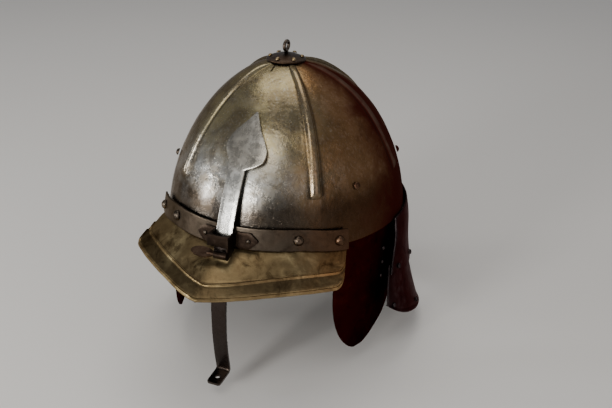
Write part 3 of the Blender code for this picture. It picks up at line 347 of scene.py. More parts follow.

# family: whose colours; patch: its patches' size in metres; brightness, stains: shares of the patina;
# smooth, rough: roughnesses; worn: how bright its edges are rubbed, over a reach in metres; relief: how deep
# its marks are, and hammer the share of fine hammer marks in them; ridge: how far raised lines are
# lightened, as rubbed wear and painted highlight; side: how deep the painted shade on its left rear is
STEELS = {
    "skull_steel": Steel("skull", 0.046, 0.50, 0.30, 0.22, 0.42, 0.35, 0.0010, 0.9, 0.50, 0.24, 0.97),
    "band_steel": Steel("band", 0.030, 0.45, 0.30, 0.34, 0.55, 0.70, 0.0009, 0.6, 0.15, 0.35, 0.95),
    "peak_steel": Steel("peak", 0.042, 0.55, 0.50, 0.30, 0.55, 1.00, 0.0016, 0.7, 0.30, 0.05, 0.80),
    "disc_steel": Steel("disc", 0.016, 0.50, 0.35, 0.34, 0.58, 0.60, 0.0009, 0.7, 0.15, 0.35, 0.0),
    "bright_steel": Steel("nasal", 0.030, 0.55, 0.16, 0.24, 0.42, 0.60, 0.0010, 0.5, 0.60, 0.35, 0.0),
    "eye_steel": Steel("eye", 0.010, 0.55, 0.30, 0.30, 0.50, 0.0, 0.0010, 0.5, 0.15, 0.35, 0.0),
    "staple_steel": Steel("staple", 0.014, 0.45, 0.30, 0.34, 0.58, 0.55, 0.0007, 0.7, 0.15, 0.35, 0.0),
    "rusty_steel": Steel("rust", 0.014, 0.45, 0.40, 0.42, 0.70, 0.60, 0.0010, 0.8, 0.15, 0.35, 0.0),
    # Painted shade: the cheeks' dark red stands in for red reflected light on shaded steel
    "russet_steel": Steel("cheek", 0.040, 0.45, 0.30, 0.36, 0.62, 0.45, 0.0009, 0.7, 0.15, 0.35, 0.0),
    # Painted shade: the neck guard is made near black, as if it stood in shade
    "guard_steel": Steel("guard", 0.030, 0.50, 0.35, 0.32, 0.58, 0.80, 0.0020, 0.7, 0.15, 0.35, 0.0),
    "rivet_steel": Steel("rivet", 0.006, 0.60, 0.22, 0.28, 0.48, 0.0, 0.0010, 0.5, 0.15, 0.35, 0.92),
    # Painted shade: the cheek and guard rivets take the guard's near-black tones
    "rivet_dark": Steel("guard", 0.006, 0.60, 0.22, 0.30, 0.50, 0.0, 0.0010, 0.5, 0.15, 0.35, 0.0),
    "rivet_brass": Steel("brass", 0.006, 0.60, 0.22, 0.26, 0.44, 0.0, 0.0010, 0.5, 0.15, 0.35, 0.0),
}
RELIEF_DEPTH = 0.0004       # metres, at a relief of 1
# Where the painted shade of the left rear begins, in radians round from the front
SIDE_SHADE_START = {"skull": 0.82, "peak": 0.82, "band": 0.70, "rivet": 0.70}
# Tints where light grazes the steel
# Grazing tint of the steels that carry the painted side shade
SIDE_SHADED_TINT = (0.60, 0.54, 0.48, 1.0)
# The cheek's and guard's red tints are painted red reflections
GRAZED_TINTS = {"cheek": (0.35, 0.03, 0.025, 1.0), "guard": (0.42, 0.30, 0.30, 1.0)}

# Each tone fades in from its first value to its second
LEAF_TONE = (0.44, 0.60)        # share of the way from the staple's top to the leaf's tip
SHADOW_TONE = (0.85, 0.55)         # share of the staple's height
FOOT_TONE = (0.014, 0.006)      # metres above the bar's lower end
FRONT_LEFT = (0.62, 0.05)       # radians round from the front, towards the left
FRONT_RIGHT = (-1.35, -0.55)
YELLOW_LEFT = (1.1, 0.5)
YELLOW_HEIGHT = (0.3969, 0.6748)    # shares of the skull's height
SHEEN_HEIGHT = (0.7780, 0.3969)
LOW_DARK_HEIGHT = (0.5081, 0.3017)
# The crack, from the middle of the crown disc's underside
CRACK_START = Vector((-0.0022, -0.0170, -0.00132))
CRACK_END = Vector((-0.0012, -0.0270, -0.00372))
CRACK_EDGE = (0.0012, 0.0004)   # metres from its middle line
BLACK = (0.0, 0.0, 0.0, 1.0)


def shared_group(name, build):
    return bpy.data.node_groups.get(name) or build()


def family_colours(family):
    """Dark, middle and bright of a family of colours, and its stain."""
    colours = bpy.context.scene.helmet_colours
    dark, middle, bright = (getattr(colours, family + "_" + tone) for tone in ("dark", "middle", "bright"))
    return rgba(dark), rgba(middle), rgba(bright), rgba([channel * 0.45 for channel in dark])


def new_material(name):
    """A material with its tree, its shader and the place on the piece."""
    made = bpy.data.materials.new(name)
    made.use_nodes = True
    tree = made.node_tree
    where = tree.nodes.new("ShaderNodeTexCoord").outputs["Object"]
    return made, tree, tree.nodes["Principled BSDF"], where


def steel(name):
    """A steel's material, made once."""
    found = bpy.data.materials.get("dress_" + name)
    if found:
        return found
    colours = bpy.context.scene.helmet_colours
    kind = STEELS[name]
    dark, middle, bright, stain = family_colours(kind.family)
    made, tree, shader, where = new_material("dress_" + name)
    shader.inputs["Metallic"].default_value = 1.0
    base = grouped(tree, shared_group("Steel patina", patina_group), {
        "Vector": where,
        "Dark": dark,
        "Middle": middle,
        "Bright": bright,
        "Stain": stain,
        "Patch size": kind.patch,
        "Brightness": kind.brightness,
        "Stain amount": kind.stains,
        "Smoothest": kind.smooth,
        "Roughest": kind.rough,
    })
    colour = base["Color"]
    if name == "bright_steel":
        colour = toned_nasal(tree, where, colour, colours)
    if name == "skull_steel":
        colour = toned_skull(tree, where, colour, colours)
    rubbed = rgba([min(channel * 1.5, 1.0) for channel in bright[:3]])
    if kind.side:
        # Painted shade: the left rear is darkened and reddened as if it stood in shade under red light
        side_shaded = grouped(tree, shared_group("Dark side", side_shade_group), {
            "Color": colour,
            "Vector": where,
            "Dark": rgba(colours.side_shade_red),
            "Start": SIDE_SHADE_START[kind.family],
            "Amount": kind.side,
        })
        colour = side_shaded["Color"]
        # The lightened rib colour darkens under the painted side shade too
        bright = blend_colour(tree, times(tree, side_shaded["Share"], 0.50), bright, BLACK)
        # Where the side shade is painted, the steel turns matte, so the painted shade shows no reflection
        tree.links.new(math_node(tree, "SUBTRACT", 1.0, side_shaded["Share"]), shader.inputs["Metallic"])
        shader.inputs["Specular IOR Level"].default_value = 0.0
        shader.inputs["Specular Tint"].default_value = SIDE_SHADED_TINT
    elif kind.family in GRAZED_TINTS:
        shader.inputs["Specular Tint"].default_value = GRAZED_TINTS[kind.family]
    colour = grouped(tree, shared_group("Polished ribs", ridge_group), {
        "Color": colour,
        "Vector": where,
        "Polished": bright,
        "Amount": kind.ridge,
    })["Color"]
    edge = grouped(tree, shared_group("Worn edges", wear_group), {
        "Color": colour,
        "Roughness": base["Roughness"],
        "Vector": where,
        "Rubbed": rubbed,
        "Amount": kind.worn,
        "Reach": kind.reach,
    })
    lines = grouped(tree, shared_group("Fine scratches", scratch_group), {"Vector": where})
    height = plus(tree, base["Height"], times(tree, lines["Height"], 0.10))
    height = plus(tree, height, times(tree, noise(tree, where, 230.0, 2.0, 0.5), kind.hammer))
    bump = add(tree, "ShaderNodeBump", {"Height": height, "Distance": RELIEF_DEPTH * kind.relief,
                                       "Strength": 1.0})
    tree.links.new(edge["Color"], shader.inputs["Base Color"])
    tree.links.new(edge["Roughness"], shader.inputs["Roughness"])
    tree.links.new(bump.outputs["Normal"], shader.inputs["Normal"])
    return made


def toned_nasal(tree, where, colour, colours):
    """Grey-brown on the leaf, bright by the staple, and a painted shadow where the bar hangs under the peak.
    """
    z = split(tree, where)["Z"]
    staple_low, staple_top = (corner.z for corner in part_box("nasal_staple"))
    foot, tip = (corner.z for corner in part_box("nasal_bar"))
    patches = noise(tree, where, 60.0, 4.0, 0.6)
    ragged = math_node(tree, "MULTIPLY_ADD", patches, 0.010, math_node(tree, "SUBTRACT", z, 0.005))
    leaf = stretch(tree, ragged, *between(staple_top, tip, LEAF_TONE))
    colour = blend_colour(tree, leaf, colour, rgba(colours.nasal_leaf), "MULTIPLY")
    # Painted shadow: the bar below the staple is darkened as if shaded by the peak
    low = stretch(tree, z, *between(staple_low, staple_top, SHADOW_TONE), 0.0, 0.95)
    colour = blend_colour(tree, low, colour, rgba(colours.nasal_shadow))
    turned = stretch(tree, z, *(foot + above for above in FOOT_TONE))
    return blend_colour(tree, turned, colour, rgba(colours.nasal_foot))


def toned_skull(tree, where, colour, colours):
    """A painted sheen low on the front, yellow above it, streaks, darker just above the band and a crack by
    the crown.
    """
    rim, top = (corner.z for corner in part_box("skull"))
    parts = split(tree, where)
    turn = turn_round(tree, parts)
    height = math_node(tree, "DIVIDE", math_node(tree, "SUBTRACT", parts["Z"], rim), top - rim)
    patches = noise(tree, where, 34.0, 4.0, 0.6, 0.8)
    fine = noise(tree, where, 150.0, 5.0, 0.7)
    ragged = plus(tree, turn, math_node(tree, "MULTIPLY_ADD", patches, 1.2, -0.6))
    right = stretch(tree, ragged, *FRONT_RIGHT)
    front = times(tree, stretch(tree, ragged, *FRONT_LEFT), right)
    # Painted highlight: a silver sheen low on the front, broken up like hammered sparkle
    spotty = stretch(tree, plus(tree, patches, times(tree, fine, 0.6)), 0.62, 0.92, 0.25, 0.95)
    painted_sheen = times(tree, times(tree, front, stretch(tree, height, *SHEEN_HEIGHT)), spotty)
    colour = blend_colour(tree, painted_sheen, colour, rgba(colours.skull_sheen_and_streaks))
    high = times(tree, stretch(tree, height, *YELLOW_HEIGHT), stretch(tree, ragged, *YELLOW_LEFT))
    yellow = times(tree, times(tree, high, right), stretch(tree, patches, 0.36, 0.60, 0.15, 0.80))
    colour = blend_colour(tree, yellow, colour, rgba(colours.skull_yellow))
    upright = vector_math(tree, "MULTIPLY", where, (1.0, 1.0, 0.045)).outputs[0]
    streaks = stretch(tree, noise(tree, upright, 700.0, 3.0, 0.6), 0.50, 0.74, 0.0, 0.34)
    colour = blend_colour(tree, streaks, colour, rgba(colours.skull_sheen_and_streaks))
    # Darker towards the band
    uneven = math_node(tree, "MULTIPLY_ADD", patches, 0.159, height)
    low_dark = stretch(tree, uneven, *LOW_DARK_HEIGHT, 0.0, 0.88)
    colour = blend_colour(tree, low_dark, colour, rgba(colours.skull_low_dark))
    low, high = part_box("crown_disc")
    disc = Vector(((low.x + high.x) / 2, (low.y + high.y) / 2, low.z))
    gap = segment_gap(tree, where, disc + CRACK_START, disc + CRACK_END)
    crack = stretch(tree, gap, *CRACK_EDGE, 0.0, 0.9)
    return blend_colour(tree, crack, colour, (0.010, 0.006, 0.004, 1.0))


def segment_gap(tree, where, start, end):
    """Distance from a straight line between two points."""
    way = end - start
    offset = vector_math(tree, "SUBTRACT", where, start).outputs[0]
    dot = vector_math(tree, "DOT_PRODUCT", offset, way / way.length_squared)
    along = add(tree, "ShaderNodeClamp", {"Value": dot.outputs["Value"]}).outputs[0]
    return vector_math(tree, "DISTANCE", offset, scaled_vector(tree, way, along)).outputs["Value"]


def leather_material():
    found = bpy.data.materials.get("dress_leather")
    if found:
        return found
    brown = bpy.context.scene.helmet_colours.leather
    made, tree, shader, where = new_material("dress_leather")
    cells = add(tree, "ShaderNodeTexVoronoi", {"Vector": where, "Scale": 900.0}, feature="DISTANCE_TO_EDGE")
    worn = noise(tree, where, 70.0, 5.0, 0.65)
    dark = rgba([channel * 0.45 for channel in brown])
    colour = blend_colour(tree, stretch(tree, worn, 0.35, 0.65), dark, rgba(brown))
    grain = stretch(tree, cells.outputs["Distance"], 0.0, 0.12)
    bump = add(tree, "ShaderNodeBump", {"Height": grain, "Distance": 0.0002, "Strength": 0.7})
    tree.links.new(colour, shader.inputs["Base Color"])
    tree.links.new(stretch(tree, worn, 0.3, 0.7, 0.78, 0.55), shader.inputs["Roughness"])
    tree.links.new(bump.outputs["Normal"], shader.inputs["Normal"])
    return made


# Meshes

def named_value(tree, name, kind="FLOAT"):
    """An attribute of the mesh, read in Geometry Nodes."""
    return add(tree, "GeometryNodeInputNamedAttribute", {"Name": name}, data_type=kind).outputs["Attribute"]


def hammered_tree():
    """Geometry Nodes: subdivides a creased plate, marks the way to its edges and beats dents into it."""
    found = bpy.data.node_groups.get("Hammered plate")
    if found:
        return found
    tree, given, result = new_group(
        "Hammered plate", "GeometryNodeTree",
        (("Geometry", "Geometry", None),
         ("Level", "Int", 2),
         ("Dent depth", "Float", 0.0003),
         ("Dent spacing", "Float", 0.012),
         ("Centre", "Vector", None),
         ("Seed", "Int", 1),
         ("Material", "Material", None)),
        (("Geometry", "Geometry"),))
    crease = named_value(tree, "crease_edge")
    corner = named_value(tree, "crease_vert")
    finer = add(tree, "GeometryNodeSubdivisionSurface", {
        "Mesh": given["Geometry"],
        "Level": given["Level"],
        "Edge Crease": crease,
        "Vertex Crease": corner,
    }).outputs["Mesh"]
    sharp = math_node(tree, "GREATER_THAN", crease, 0.9)
    edges = add(tree, "GeometryNodeSeparateGeometry", {"Geometry": finer, "Selection": sharp},
                domain="EDGE").outputs["Selection"]
    nearest = add(tree, "GeometryNodeProximity", {0: edges}, target_element="EDGES").outputs
    gap = plus(tree, nearest["Distance"], math_node(tree, "SUBTRACT", 1.0, nearest["Is Valid"]))
    marked = add(tree, "GeometryNodeStoreNamedAttribute", {
        "Geometry": finer,
        "Name": EDGE_GAP,
        "Value": gap,
    }, data_type="FLOAT", domain="POINT")
    place = tree.nodes.new("GeometryNodeInputPosition").outputs["Position"]
    arm = vector_math(tree, "SUBTRACT", place, given["Centre"]).outputs[0]
    outward = add(tree, "ShaderNodeVectorMath", {0: arm}, operation="NORMALIZE").outputs[0]
    shifted = vector_math(tree, "ADD", place, given["Seed"]).outputs[0]
    scale = math_node(tree, "DIVIDE", 1.0, given["Dent spacing"])
    small = math_node(tree, "SUBTRACT", noise(tree, shifted, scale, 1.0, 0.4), 0.5)
    wide = math_node(tree, "SUBTRACT", noise(tree, shifted, times(tree, scale, 0.32), 1.0, 0.4), 0.5)
    beaten = times(tree, plus(tree, small, times(tree, wide, 1.8)), given["Dent depth"])
    moved = add(tree, "GeometryNodeSetPosition", {"Geometry": marked.outputs["Geometry"],
                                                  "Offset": scaled_vector(tree, outward, beaten)})
    end_tree(tree, moved.outputs["Geometry"], given["Material"], result)
    return tree


def end_tree(tree, geometry, material, result, smooth=False):
    """The end of a tree: real meshes with their material."""
    real = add(tree, "GeometryNodeRealizeInstances", {"Geometry": geometry}).outputs["Geometry"]
    if smooth:
        real = add(tree, "GeometryNodeSetShadeSmooth", {"Geometry": real}).outputs["Geometry"]
    done = add(tree, "GeometryNodeSetMaterial", {"Geometry": real, "Material": material})
    tree.links.new(done.outputs["Geometry"], result["Geometry"])


def rivet_tree():
    """Geometry Nodes: a domed head on each point, turned to face the point's way out."""
    found = bpy.data.node_groups.get("Domed rivets")
    if found:
        return found
    tree, given, result = new_group(
        "Domed rivets", "GeometryNodeTree",
        (("Geometry", "Geometry", None),
         ("Sides", "Int", 24),
         ("Unevenness", "Float", 0.06),
         ("Seed", "Int", 1),
         ("Material", "Material", None)),
        (("Geometry", "Geometry"),))
    ball = add(tree, "GeometryNodeMeshUVSphere", {"Segments": given["Sides"], "Rings": RIVET_RINGS,
                                                  "Radius": 1.0})
    place = tree.nodes.new("GeometryNodeInputPosition").outputs["Position"]
    parts = split(tree, place)
    low = math_node(tree, "MAXIMUM", parts["Z"], -RIVET_SUNK)
    flat = add(tree, "ShaderNodeCombineXYZ", {"X": parts["X"], "Y": parts["Y"], "Z": low}).outputs["Vector"]
    dome = add(tree, "GeometryNodeSetPosition", {"Geometry": ball.outputs["Mesh"], "Position": flat})
    facing = named_value(tree, "facing", "FLOAT_VECTOR")
    size = named_value(tree, "size", "FLOAT_VECTOR")
    turned = add(tree, "FunctionNodeAlignRotationToVector", {"Vector": facing}, axis="Z")
    least = math_node(tree, "SUBTRACT", 1.0, given["Unevenness"])
    widest = plus(tree, 1.0, given["Unevenness"])
    spread = add(tree, "FunctionNodeRandomValue", {0: least, 1: widest, "Seed": given["Seed"]},
                 data_type="FLOAT_VECTOR")
    heads = add(tree, "GeometryNodeInstanceOnPoints", {
        "Points": given["Geometry"],
        "Instance": dome.outputs["Geometry"],
        "Rotation": turned.outputs["Rotation"],
        "Scale": vector_math(tree, "MULTIPLY", size, spread.outputs[0]).outputs[0],
    })
    end_tree(tree, heads.outputs["Instances"], given["Material"], result, smooth=True)
    return tree


def set_inputs(modifier, values):
    """Sets a Geometry Nodes modifier's inputs by their sockets' identifiers."""
    for item in modifier.node_group.interface.items_tree:
        if item.item_type == "SOCKET" and item.in_out == "INPUT" and item.name in values:
            modifier[item.identifier] = values[item.name]


def settle(thing, sharp_angle=None):
    """Turns an object's modifiers into its mesh."""
    bpy.context.view_layer.update()
    evaluated = thing.evaluated_get(bpy.context.evaluated_depsgraph_get())
    result = bpy.data.meshes.new_from_object(evaluated)
    thing.modifiers.clear()
    old = thing.data
    thing.data = result
    bpy.data.meshes.remove(old)
    result.shade_smooth()
    if sharp_angle is not None:
        result.set_sharp_from_angle(angle=math.radians(sharp_angle))
    return thing


def link(name, mesh):
    made = bpy.data.objects.new(name, mesh)
    bpy.context.scene.collection.objects.link(made)
    return made


def merged_copy(node, crease_angle):
    """A CAD node's mesh with its doubles merged, its triangles paired and its edges creased and marked."""
    shape = bmesh.new()
    shape.from_mesh(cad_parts[node].data)
    bmesh.ops.remove_doubles(shape, verts=shape.verts, dist=SAME_POINT)
    bmesh.ops.join_triangles(shape, faces=shape.faces, cmp_seam=False, cmp_sharp=False, cmp_uvs=False,
                             cmp_vcols=False, cmp_materials=False,
                             angle_face_threshold=math.radians(PAIRED_BEND),
                             angle_shape_threshold=math.radians(PAIRED_SHAPE))
    crease = shape.edges.layers.float.new("crease_edge")
    corner_crease = shape.verts.layers.float.new("crease_vert")
    raised = shape.verts.layers.float.new(RAISED)
    hollow = shape.verts.layers.float.new(HOLLOW)
    for edge in shape.edges:
        edge.smooth = True
        bend = math.degrees(edge.calc_face_angle_signed(0.0)) if edge.is_manifold else 0.0
        edge[crease] = 1.0 if abs(bend) > crease_angle else 0.5 if bend < -RIDGE_BEND else 0.0
        if RIDGE_BEND < bend < SQUARE_BEND:
            for end in edge.verts:
                end[raised] += 0.5
        if bend < -RIDGE_BEND:
            for end in edge.verts:
                end[hollow] = 1.0
    for point in shape.verts:
        sharp = [edge for edge in point.link_edges if edge[crease] == 1.0]
        arms = [(edge.other_vert(point).co - point.co).normalized() for edge in sharp]
        if len(arms) == 2 and arms[0].dot(arms[1]) > -math.cos(math.radians(CORNER_TURN)):
            point[corner_crease] = 1.0
        point[raised] = 1.0 if point[raised] >= 1.0 else 0.0
        if point[raised]:
            point[hollow] = 0.0
    for face in shape.faces:
        face.smooth = True
        face.material_index = 0
    mesh = bpy.data.meshes.new(node + "_fine")
    shape.to_mesh(mesh)
    shape.free()
    return mesh


def plate(node, name, finish, body, level=2, dent=1.0, spacing=None, crease_angle=40.0,
          round_edge=ROUNDED_BY, seed=1):
    """A fine copy of a CAD node, subdivided, dented and rounded at its edges, that takes its place."""
    sizes = bpy.context.scene.helmet_sizes
    thing = link(name, merged_copy(node, crease_angle))
    beat = thing.modifiers.new("hammered", "NODES")
    beat.node_group = hammered_tree()
    set_inputs(beat, {
        "Level": level,
        "Dent depth": sizes.dent_depth * dent,
        "Dent spacing": spacing or sizes.dent_spacing,
        "Centre": HEAD_CENTRE,
        "Seed": seed,
        "Material": steel(finish),
    })
    if round_edge:
        soft = thing.modifiers.new("edges", "BEVEL")
        soft.width = round_edge
        soft.segments = 2
        soft.limit_method = "ANGLE"
        soft.angle_limit = math.radians(ROUNDED_ANGLE)
        soft.harden_normals = False
    settle(thing, SHARP_ANGLE)
    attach(thing, body)
    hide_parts(node)
    return thing


def node_names(prefix):
    return sorted(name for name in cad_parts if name.startswith(prefix))


def rivet_point(node):
    """Base centre, way out, radius and height of a CAD rivet head."""
    points = []
    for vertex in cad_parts[node].data.vertices:
        if all((vertex.co - point).length > SAME_POINT for point in points):
            points.append(vertex.co.copy())
    middle = sum(points, Vector()) / len(points)
    spread = Matrix(((0.0,) * 3,) * 3)
    for point in points:
        arm = point - middle
        for row in range(3):
            for column in range(3):
                spread[row][column] += arm[row] * arm[column]
    # The head is thinnest along its way out, which inverse iteration finds from the spread of its points
    total = spread[0][0] + spread[1][1] + spread[2][2]
    inverse = (spread + Matrix.Identity(3) * total * LEAST_SPREAD).inverted()
    way = (middle - HEAD_CENTRE).normalized()
    for step in range(SPREAD_STEPS):
        way = (inverse @ way).normalized()
    if way.dot(middle - HEAD_CENTRE) < 0.0:
        way = -way
    heights = [way.dot(point - middle) for point in points]
    base = middle + way * min(heights)
    radius = max(((point - middle) - way * way.dot(point - middle)).length for point in points)
    return base, way, radius, max(heights) - min(heights)


def rivet_heads(name, nodes, finish, seed):
    """One mesh of domed heads in place of the CAD's rivets."""
    sizes = bpy.context.scene.helmet_sizes
    places = [rivet_point(node) for node in nodes]
    mesh = bpy.data.meshes.new(name)
    mesh.from_pydata([base for base, way, radius, height in places], [], [])
    facing = mesh.attributes.new("facing", "FLOAT_VECTOR", "POINT")
    size = mesh.attributes.new("size", "FLOAT_VECTOR", "POINT")
    for index, (base, way, radius, height) in enumerate(places):
        facing.data[index].vector = way
        size.data[index].vector = (radius, radius, height)
    thing = link(name, mesh)
    heads = thing.modifiers.new("heads", "NODES")
    heads.node_group = rivet_tree()
    set_inputs(heads, {"Sides": sizes.rivet_sides, "Unevenness": sizes.rivet_unevenness, "Seed": seed,
                       "Material": steel(finish)})
    settle(thing)
    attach(thing, HELMET)
    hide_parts(*nodes)
    return thing


# Properties

def length(name, about, default, low, high):
    return bpy.props.FloatProperty(name=name, description=about, default=default, min=low, max=high,
                                   subtype="DISTANCE", unit="LENGTH", precision=5)


def swatch(name, about, default):
    return bpy.props.FloatVectorProperty(name=name, description=about, default=default, size=3, min=0.0,
                                         max=1.0, subtype="COLOR")


class HelmetSizes(bpy.types.PropertyGroup):
    dent_depth: length("Dent depth", "How deep the hammer marks are", 0.00055, 0.0, 0.002)
    dent_spacing: length("Dent spacing", "Distance between hammer marks", 0.013, 0.003, 0.05)
    rivet_sides: bpy.props.IntProperty(
        name="Rivet sides", description="Sides of each rivet head", default=24, min=8, max=64)
    rivet_unevenness: bpy.props.FloatProperty(
        name="Rivet unevenness", description="How far the heads' sizes differ", default=0.07,
        min=0.0, max=0.3, subtype="FACTOR")
    floor_size: length("Floor size", "Side of the floor", 8.0, 1.0, 40.0)
    floor_gap: length("Floor gap", "Floor below the helmet's lowest point", 0.002, 0.0, 0.1)


class HelmetColours(bpy.types.PropertyGroup):
    skull_dark: swatch("Skull, dark", "Darkest patina of the skull", (0.095, 0.070, 0.042))
    skull_middle: swatch("Skull, middle", "Main patina of the skull", (0.205, 0.160, 0.095))
    skull_bright: swatch("Skull, bright", "Rubbed steel on the skull", (0.330, 0.290, 0.220))
    # Painted sheen low on the front; the upright streaks share this colour
    skull_sheen_and_streaks: swatch("Skull, sheen and streaks", "Painted sheen low on the front, and the streaks' colour", (0.480, 0.485, 0.470))
    skull_low_dark: swatch("Skull, low dark", "Dark brown just above the band", (0.040, 0.028, 0.019))
    skull_yellow: swatch("Skull, yellow", "Yellow cast high on the front", (0.390, 0.330, 0.180))
    # Painted shade: dark red laid round the left rear, where shade and red light fall
    side_shade_red: swatch("Left side", "Dark red of the left rear", (0.034, 0.0045, 0.0036))
    band_dark: swatch("Band, dark", "Darkest tone of the band", (0.028, 0.021, 0.015))
    band_middle: swatch("Band, middle", "Main tone of the band", (0.074, 0.058, 0.043))
    band_bright: swatch("Band, bright", "Rubbed steel on the band", (0.120, 0.098, 0.076))
    peak_dark: swatch("Peak, dark", "Dark brown on the peak", (0.060, 0.032, 0.014))
    peak_middle: swatch("Peak, middle", "Yellow patina of the peak", (0.225, 0.162, 0.080))
    peak_bright: swatch("Peak, bright", "Brightest yellow of the peak", (0.480, 0.380, 0.200))
    disc_dark: swatch("Disc, dark", "Darkest tone of the crown disc", (0.024, 0.013, 0.008))
    disc_middle: swatch("Disc, middle", "Main tone of the crown disc", (0.036, 0.020, 0.012))
    disc_bright: swatch("Disc, bright", "Rubbed steel on the crown disc", (0.100, 0.072, 0.050))
    nasal_dark: swatch("Nasal, dark", "Darkest tone of the nasal bar", (0.200, 0.190, 0.165))
    nasal_middle: swatch("Nasal, middle", "Main tone of the nasal bar", (0.400, 0.392, 0.365))
    nasal_bright: swatch("Nasal, bright", "Rubbed steel on the nasal bar", (0.660, 0.660, 0.640))
    nasal_leaf: swatch("Nasal, leaf", "Tone laid over the leaf", (0.980, 0.935, 0.870))
    nasal_foot: swatch("Nasal, foot", "Steel of the bar's lower end", (0.075, 0.060, 0.050))
    # Painted shadow of the peak on the bar below it
    nasal_shadow: swatch("Nasal, lower end", "Brown of the bar below the peak", (0.022, 0.013, 0.010))
    eye_dark: swatch("Eye, dark", "Darkest tone of the crown's eye", (0.030, 0.019, 0.015))
    eye_middle: swatch("Eye, middle", "Main tone of the crown's eye", (0.050, 0.034, 0.027))
    eye_bright: swatch("Eye, bright", "Rubbed steel on the crown's eye", (0.210, 0.175, 0.140))
    staple_dark: swatch("Staple, dark", "Darkest tone of the staple", (0.010, 0.0065, 0.005))
    staple_middle: swatch("Staple, middle", "Main tone of the staple", (0.026, 0.017, 0.012))
    staple_bright: swatch("Staple, bright", "Rubbed steel on the staple", (0.075, 0.056, 0.042))
    rust_dark: swatch("Rust, dark", "Dark rust of the thumb screw", (0.022, 0.009, 0.005))
    rust_middle: swatch("Rust, middle", "Rust of the thumb screw", (0.064, 0.040, 0.027))
    rust_bright: swatch("Rust, bright", "Rubbed edge of the thumb screw", (0.100, 0.070, 0.050))
    # Painted red reflection and shade on the cheek pieces
    cheek_dark: swatch("Cheek, dark", "Darkest russet of the cheek pieces", (0.0160, 0.0006, 0.0005))
    cheek_middle: swatch("Cheek, middle", "Russet of the cheek pieces", (0.0270, 0.0028, 0.0022))
    cheek_bright: swatch("Cheek, bright", "Lighter russet of the cheek pieces", (0.0520, 0.0100, 0.0080))
    # Painted shade: near-black tones of the neck guard
    guard_dark: swatch("Guard, dark", "Darkest tone of the neck guard", (0.0150, 0.0105, 0.0105))
    guard_middle: swatch("Guard, middle", "Main tone of the neck guard", (0.0360, 0.0280, 0.0290))
    guard_bright: swatch("Guard, bright", "Rubbed steel on the neck guard", (0.0800, 0.0620, 0.0630))
    rivet_dark: swatch("Rivets, dark", "Darkest tone of the band's rivets", (0.030, 0.023, 0.018))
    rivet_middle: swatch("Rivets", "Main tone of the band's rivets", (0.062, 0.050, 0.039))
    rivet_bright: swatch("Rivets, bright", "Rubbed steel on the band's rivets", (0.190, 0.160, 0.125))
    brass_dark: swatch("Brass, dark", "Darkest tone of the crown's rivets", (0.060, 0.036, 0.016))
    brass_middle: swatch("Brass", "Old brass of the crown's rivets", (0.220, 0.150, 0.070))
    brass_bright: swatch("Brass, bright", "Rubbed brass", (0.460, 0.360, 0.220))
    leather: swatch("Leather", "Leather that carries the hanging plates", (0.030, 0.014, 0.009))
    floor: swatch("Floor", "Pale floor", (0.780, 0.765, 0.740))


# Operators

class HELMET_OT_skull(bpy.types.Operator):
    """Ribbed skull with hammer marks"""
    bl_idname = "helmet.skull"
    bl_label = "Skull"

    def execute(self, context):
        plate("skull", "ribbed_skull", "skull_steel", HELMET, crease_angle=50.0)
        return {"FINISHED"}


class HELMET_OT_crown(bpy.types.Operator):
    """Crown disc and its upright eye"""
    bl_idname = "helmet.crown"
    bl_label = "Crown"

    def execute(self, context):
        plate("crown_disc", "dished_crown_disc", "disc_steel", HELMET, dent=0.5, spacing=0.006)
        plate("crown_eye", "oval_crown_eye", "eye_steel", HELMET, dent=0.2, spacing=0.004,
              crease_angle=60.0, round_edge=0.0)
        return {"FINISHED"}


class HELMET_OT_brow_band(bpy.types.Operator):
    """Band riveted round the brow"""
    bl_idname = "helmet.brow_band"
    bl_label = "Brow band"

    def execute(self, context):
        plate("brow_band", "riveted_brow_band", "band_steel", HELMET, level=3, dent=0.35, seed=4)
        return {"FINISHED"}


class HELMET_OT_peak(bpy.types.Operator):
    """Pointed peak with its raised line and turned rim"""
    bl_idname = "helmet.peak"
    bl_label = "Peak"

    def execute(self, context):
        plate("peak", "pointed_peak", "peak_steel", HELMET, dent=0.9, seed=7, crease_angle=60.0)
        return {"FINISHED"}


class HELMET_OT_nasal(bpy.types.Operator):
    """Sliding nasal bar with its leaf"""
    bl_idname = "helmet.nasal"
    bl_label = "Nasal bar"

    def execute(self, context):
        plate("nasal_bar", "leaf_headed_nasal_bar", "bright_steel", NASAL, dent=0.5, seed=9)
        return {"FINISHED"}


class HELMET_OT_staple(bpy.types.Operator):
    """Staple that the bar slides in, and the thumb screw that holds it"""
    bl_idname = "helmet.staple"
    bl_label = "Staple and screw"

    def execute(self, context):
        plate("nasal_staple", "forged_nasal_staple", "staple_steel", HELMET, level=1, dent=0.25,
              spacing=0.006, crease_angle=30.0, round_edge=0.0003)
        plate("thumb_screw", "oval_thumb_screw", "rusty_steel", SCREW, level=1, dent=0.3, spacing=0.005,
              crease_angle=30.0, round_edge=0.0003)
        return {"FINISHED"}


class HELMET_OT_cheek_pieces(bpy.types.Operator):
    """Two hanging cheek pieces"""
    bl_idname = "helmet.cheek_pieces"
    bl_label = "Cheek pieces"

    def execute(self, context):
        for number, side in enumerate(("left", "right")):
            plate("cheek_piece_" + side, "curved_cheek_piece_" + side, "russet_steel", HELMET,
                  seed=12 + number)
        return {"FINISHED"}


class HELMET_OT_neck_guard(bpy.types.Operator):
    """Two flared lames over the nape"""
    bl_idname = "helmet.neck_guard"
    bl_label = "Neck guard"

    def execute(self, context):
        for name in ("upper_lame", "lower_lame"):
            plate(name, "flared_" + name, "guard_steel", HELMET, dent=0.4, seed=15)
        return {"FINISHED"}


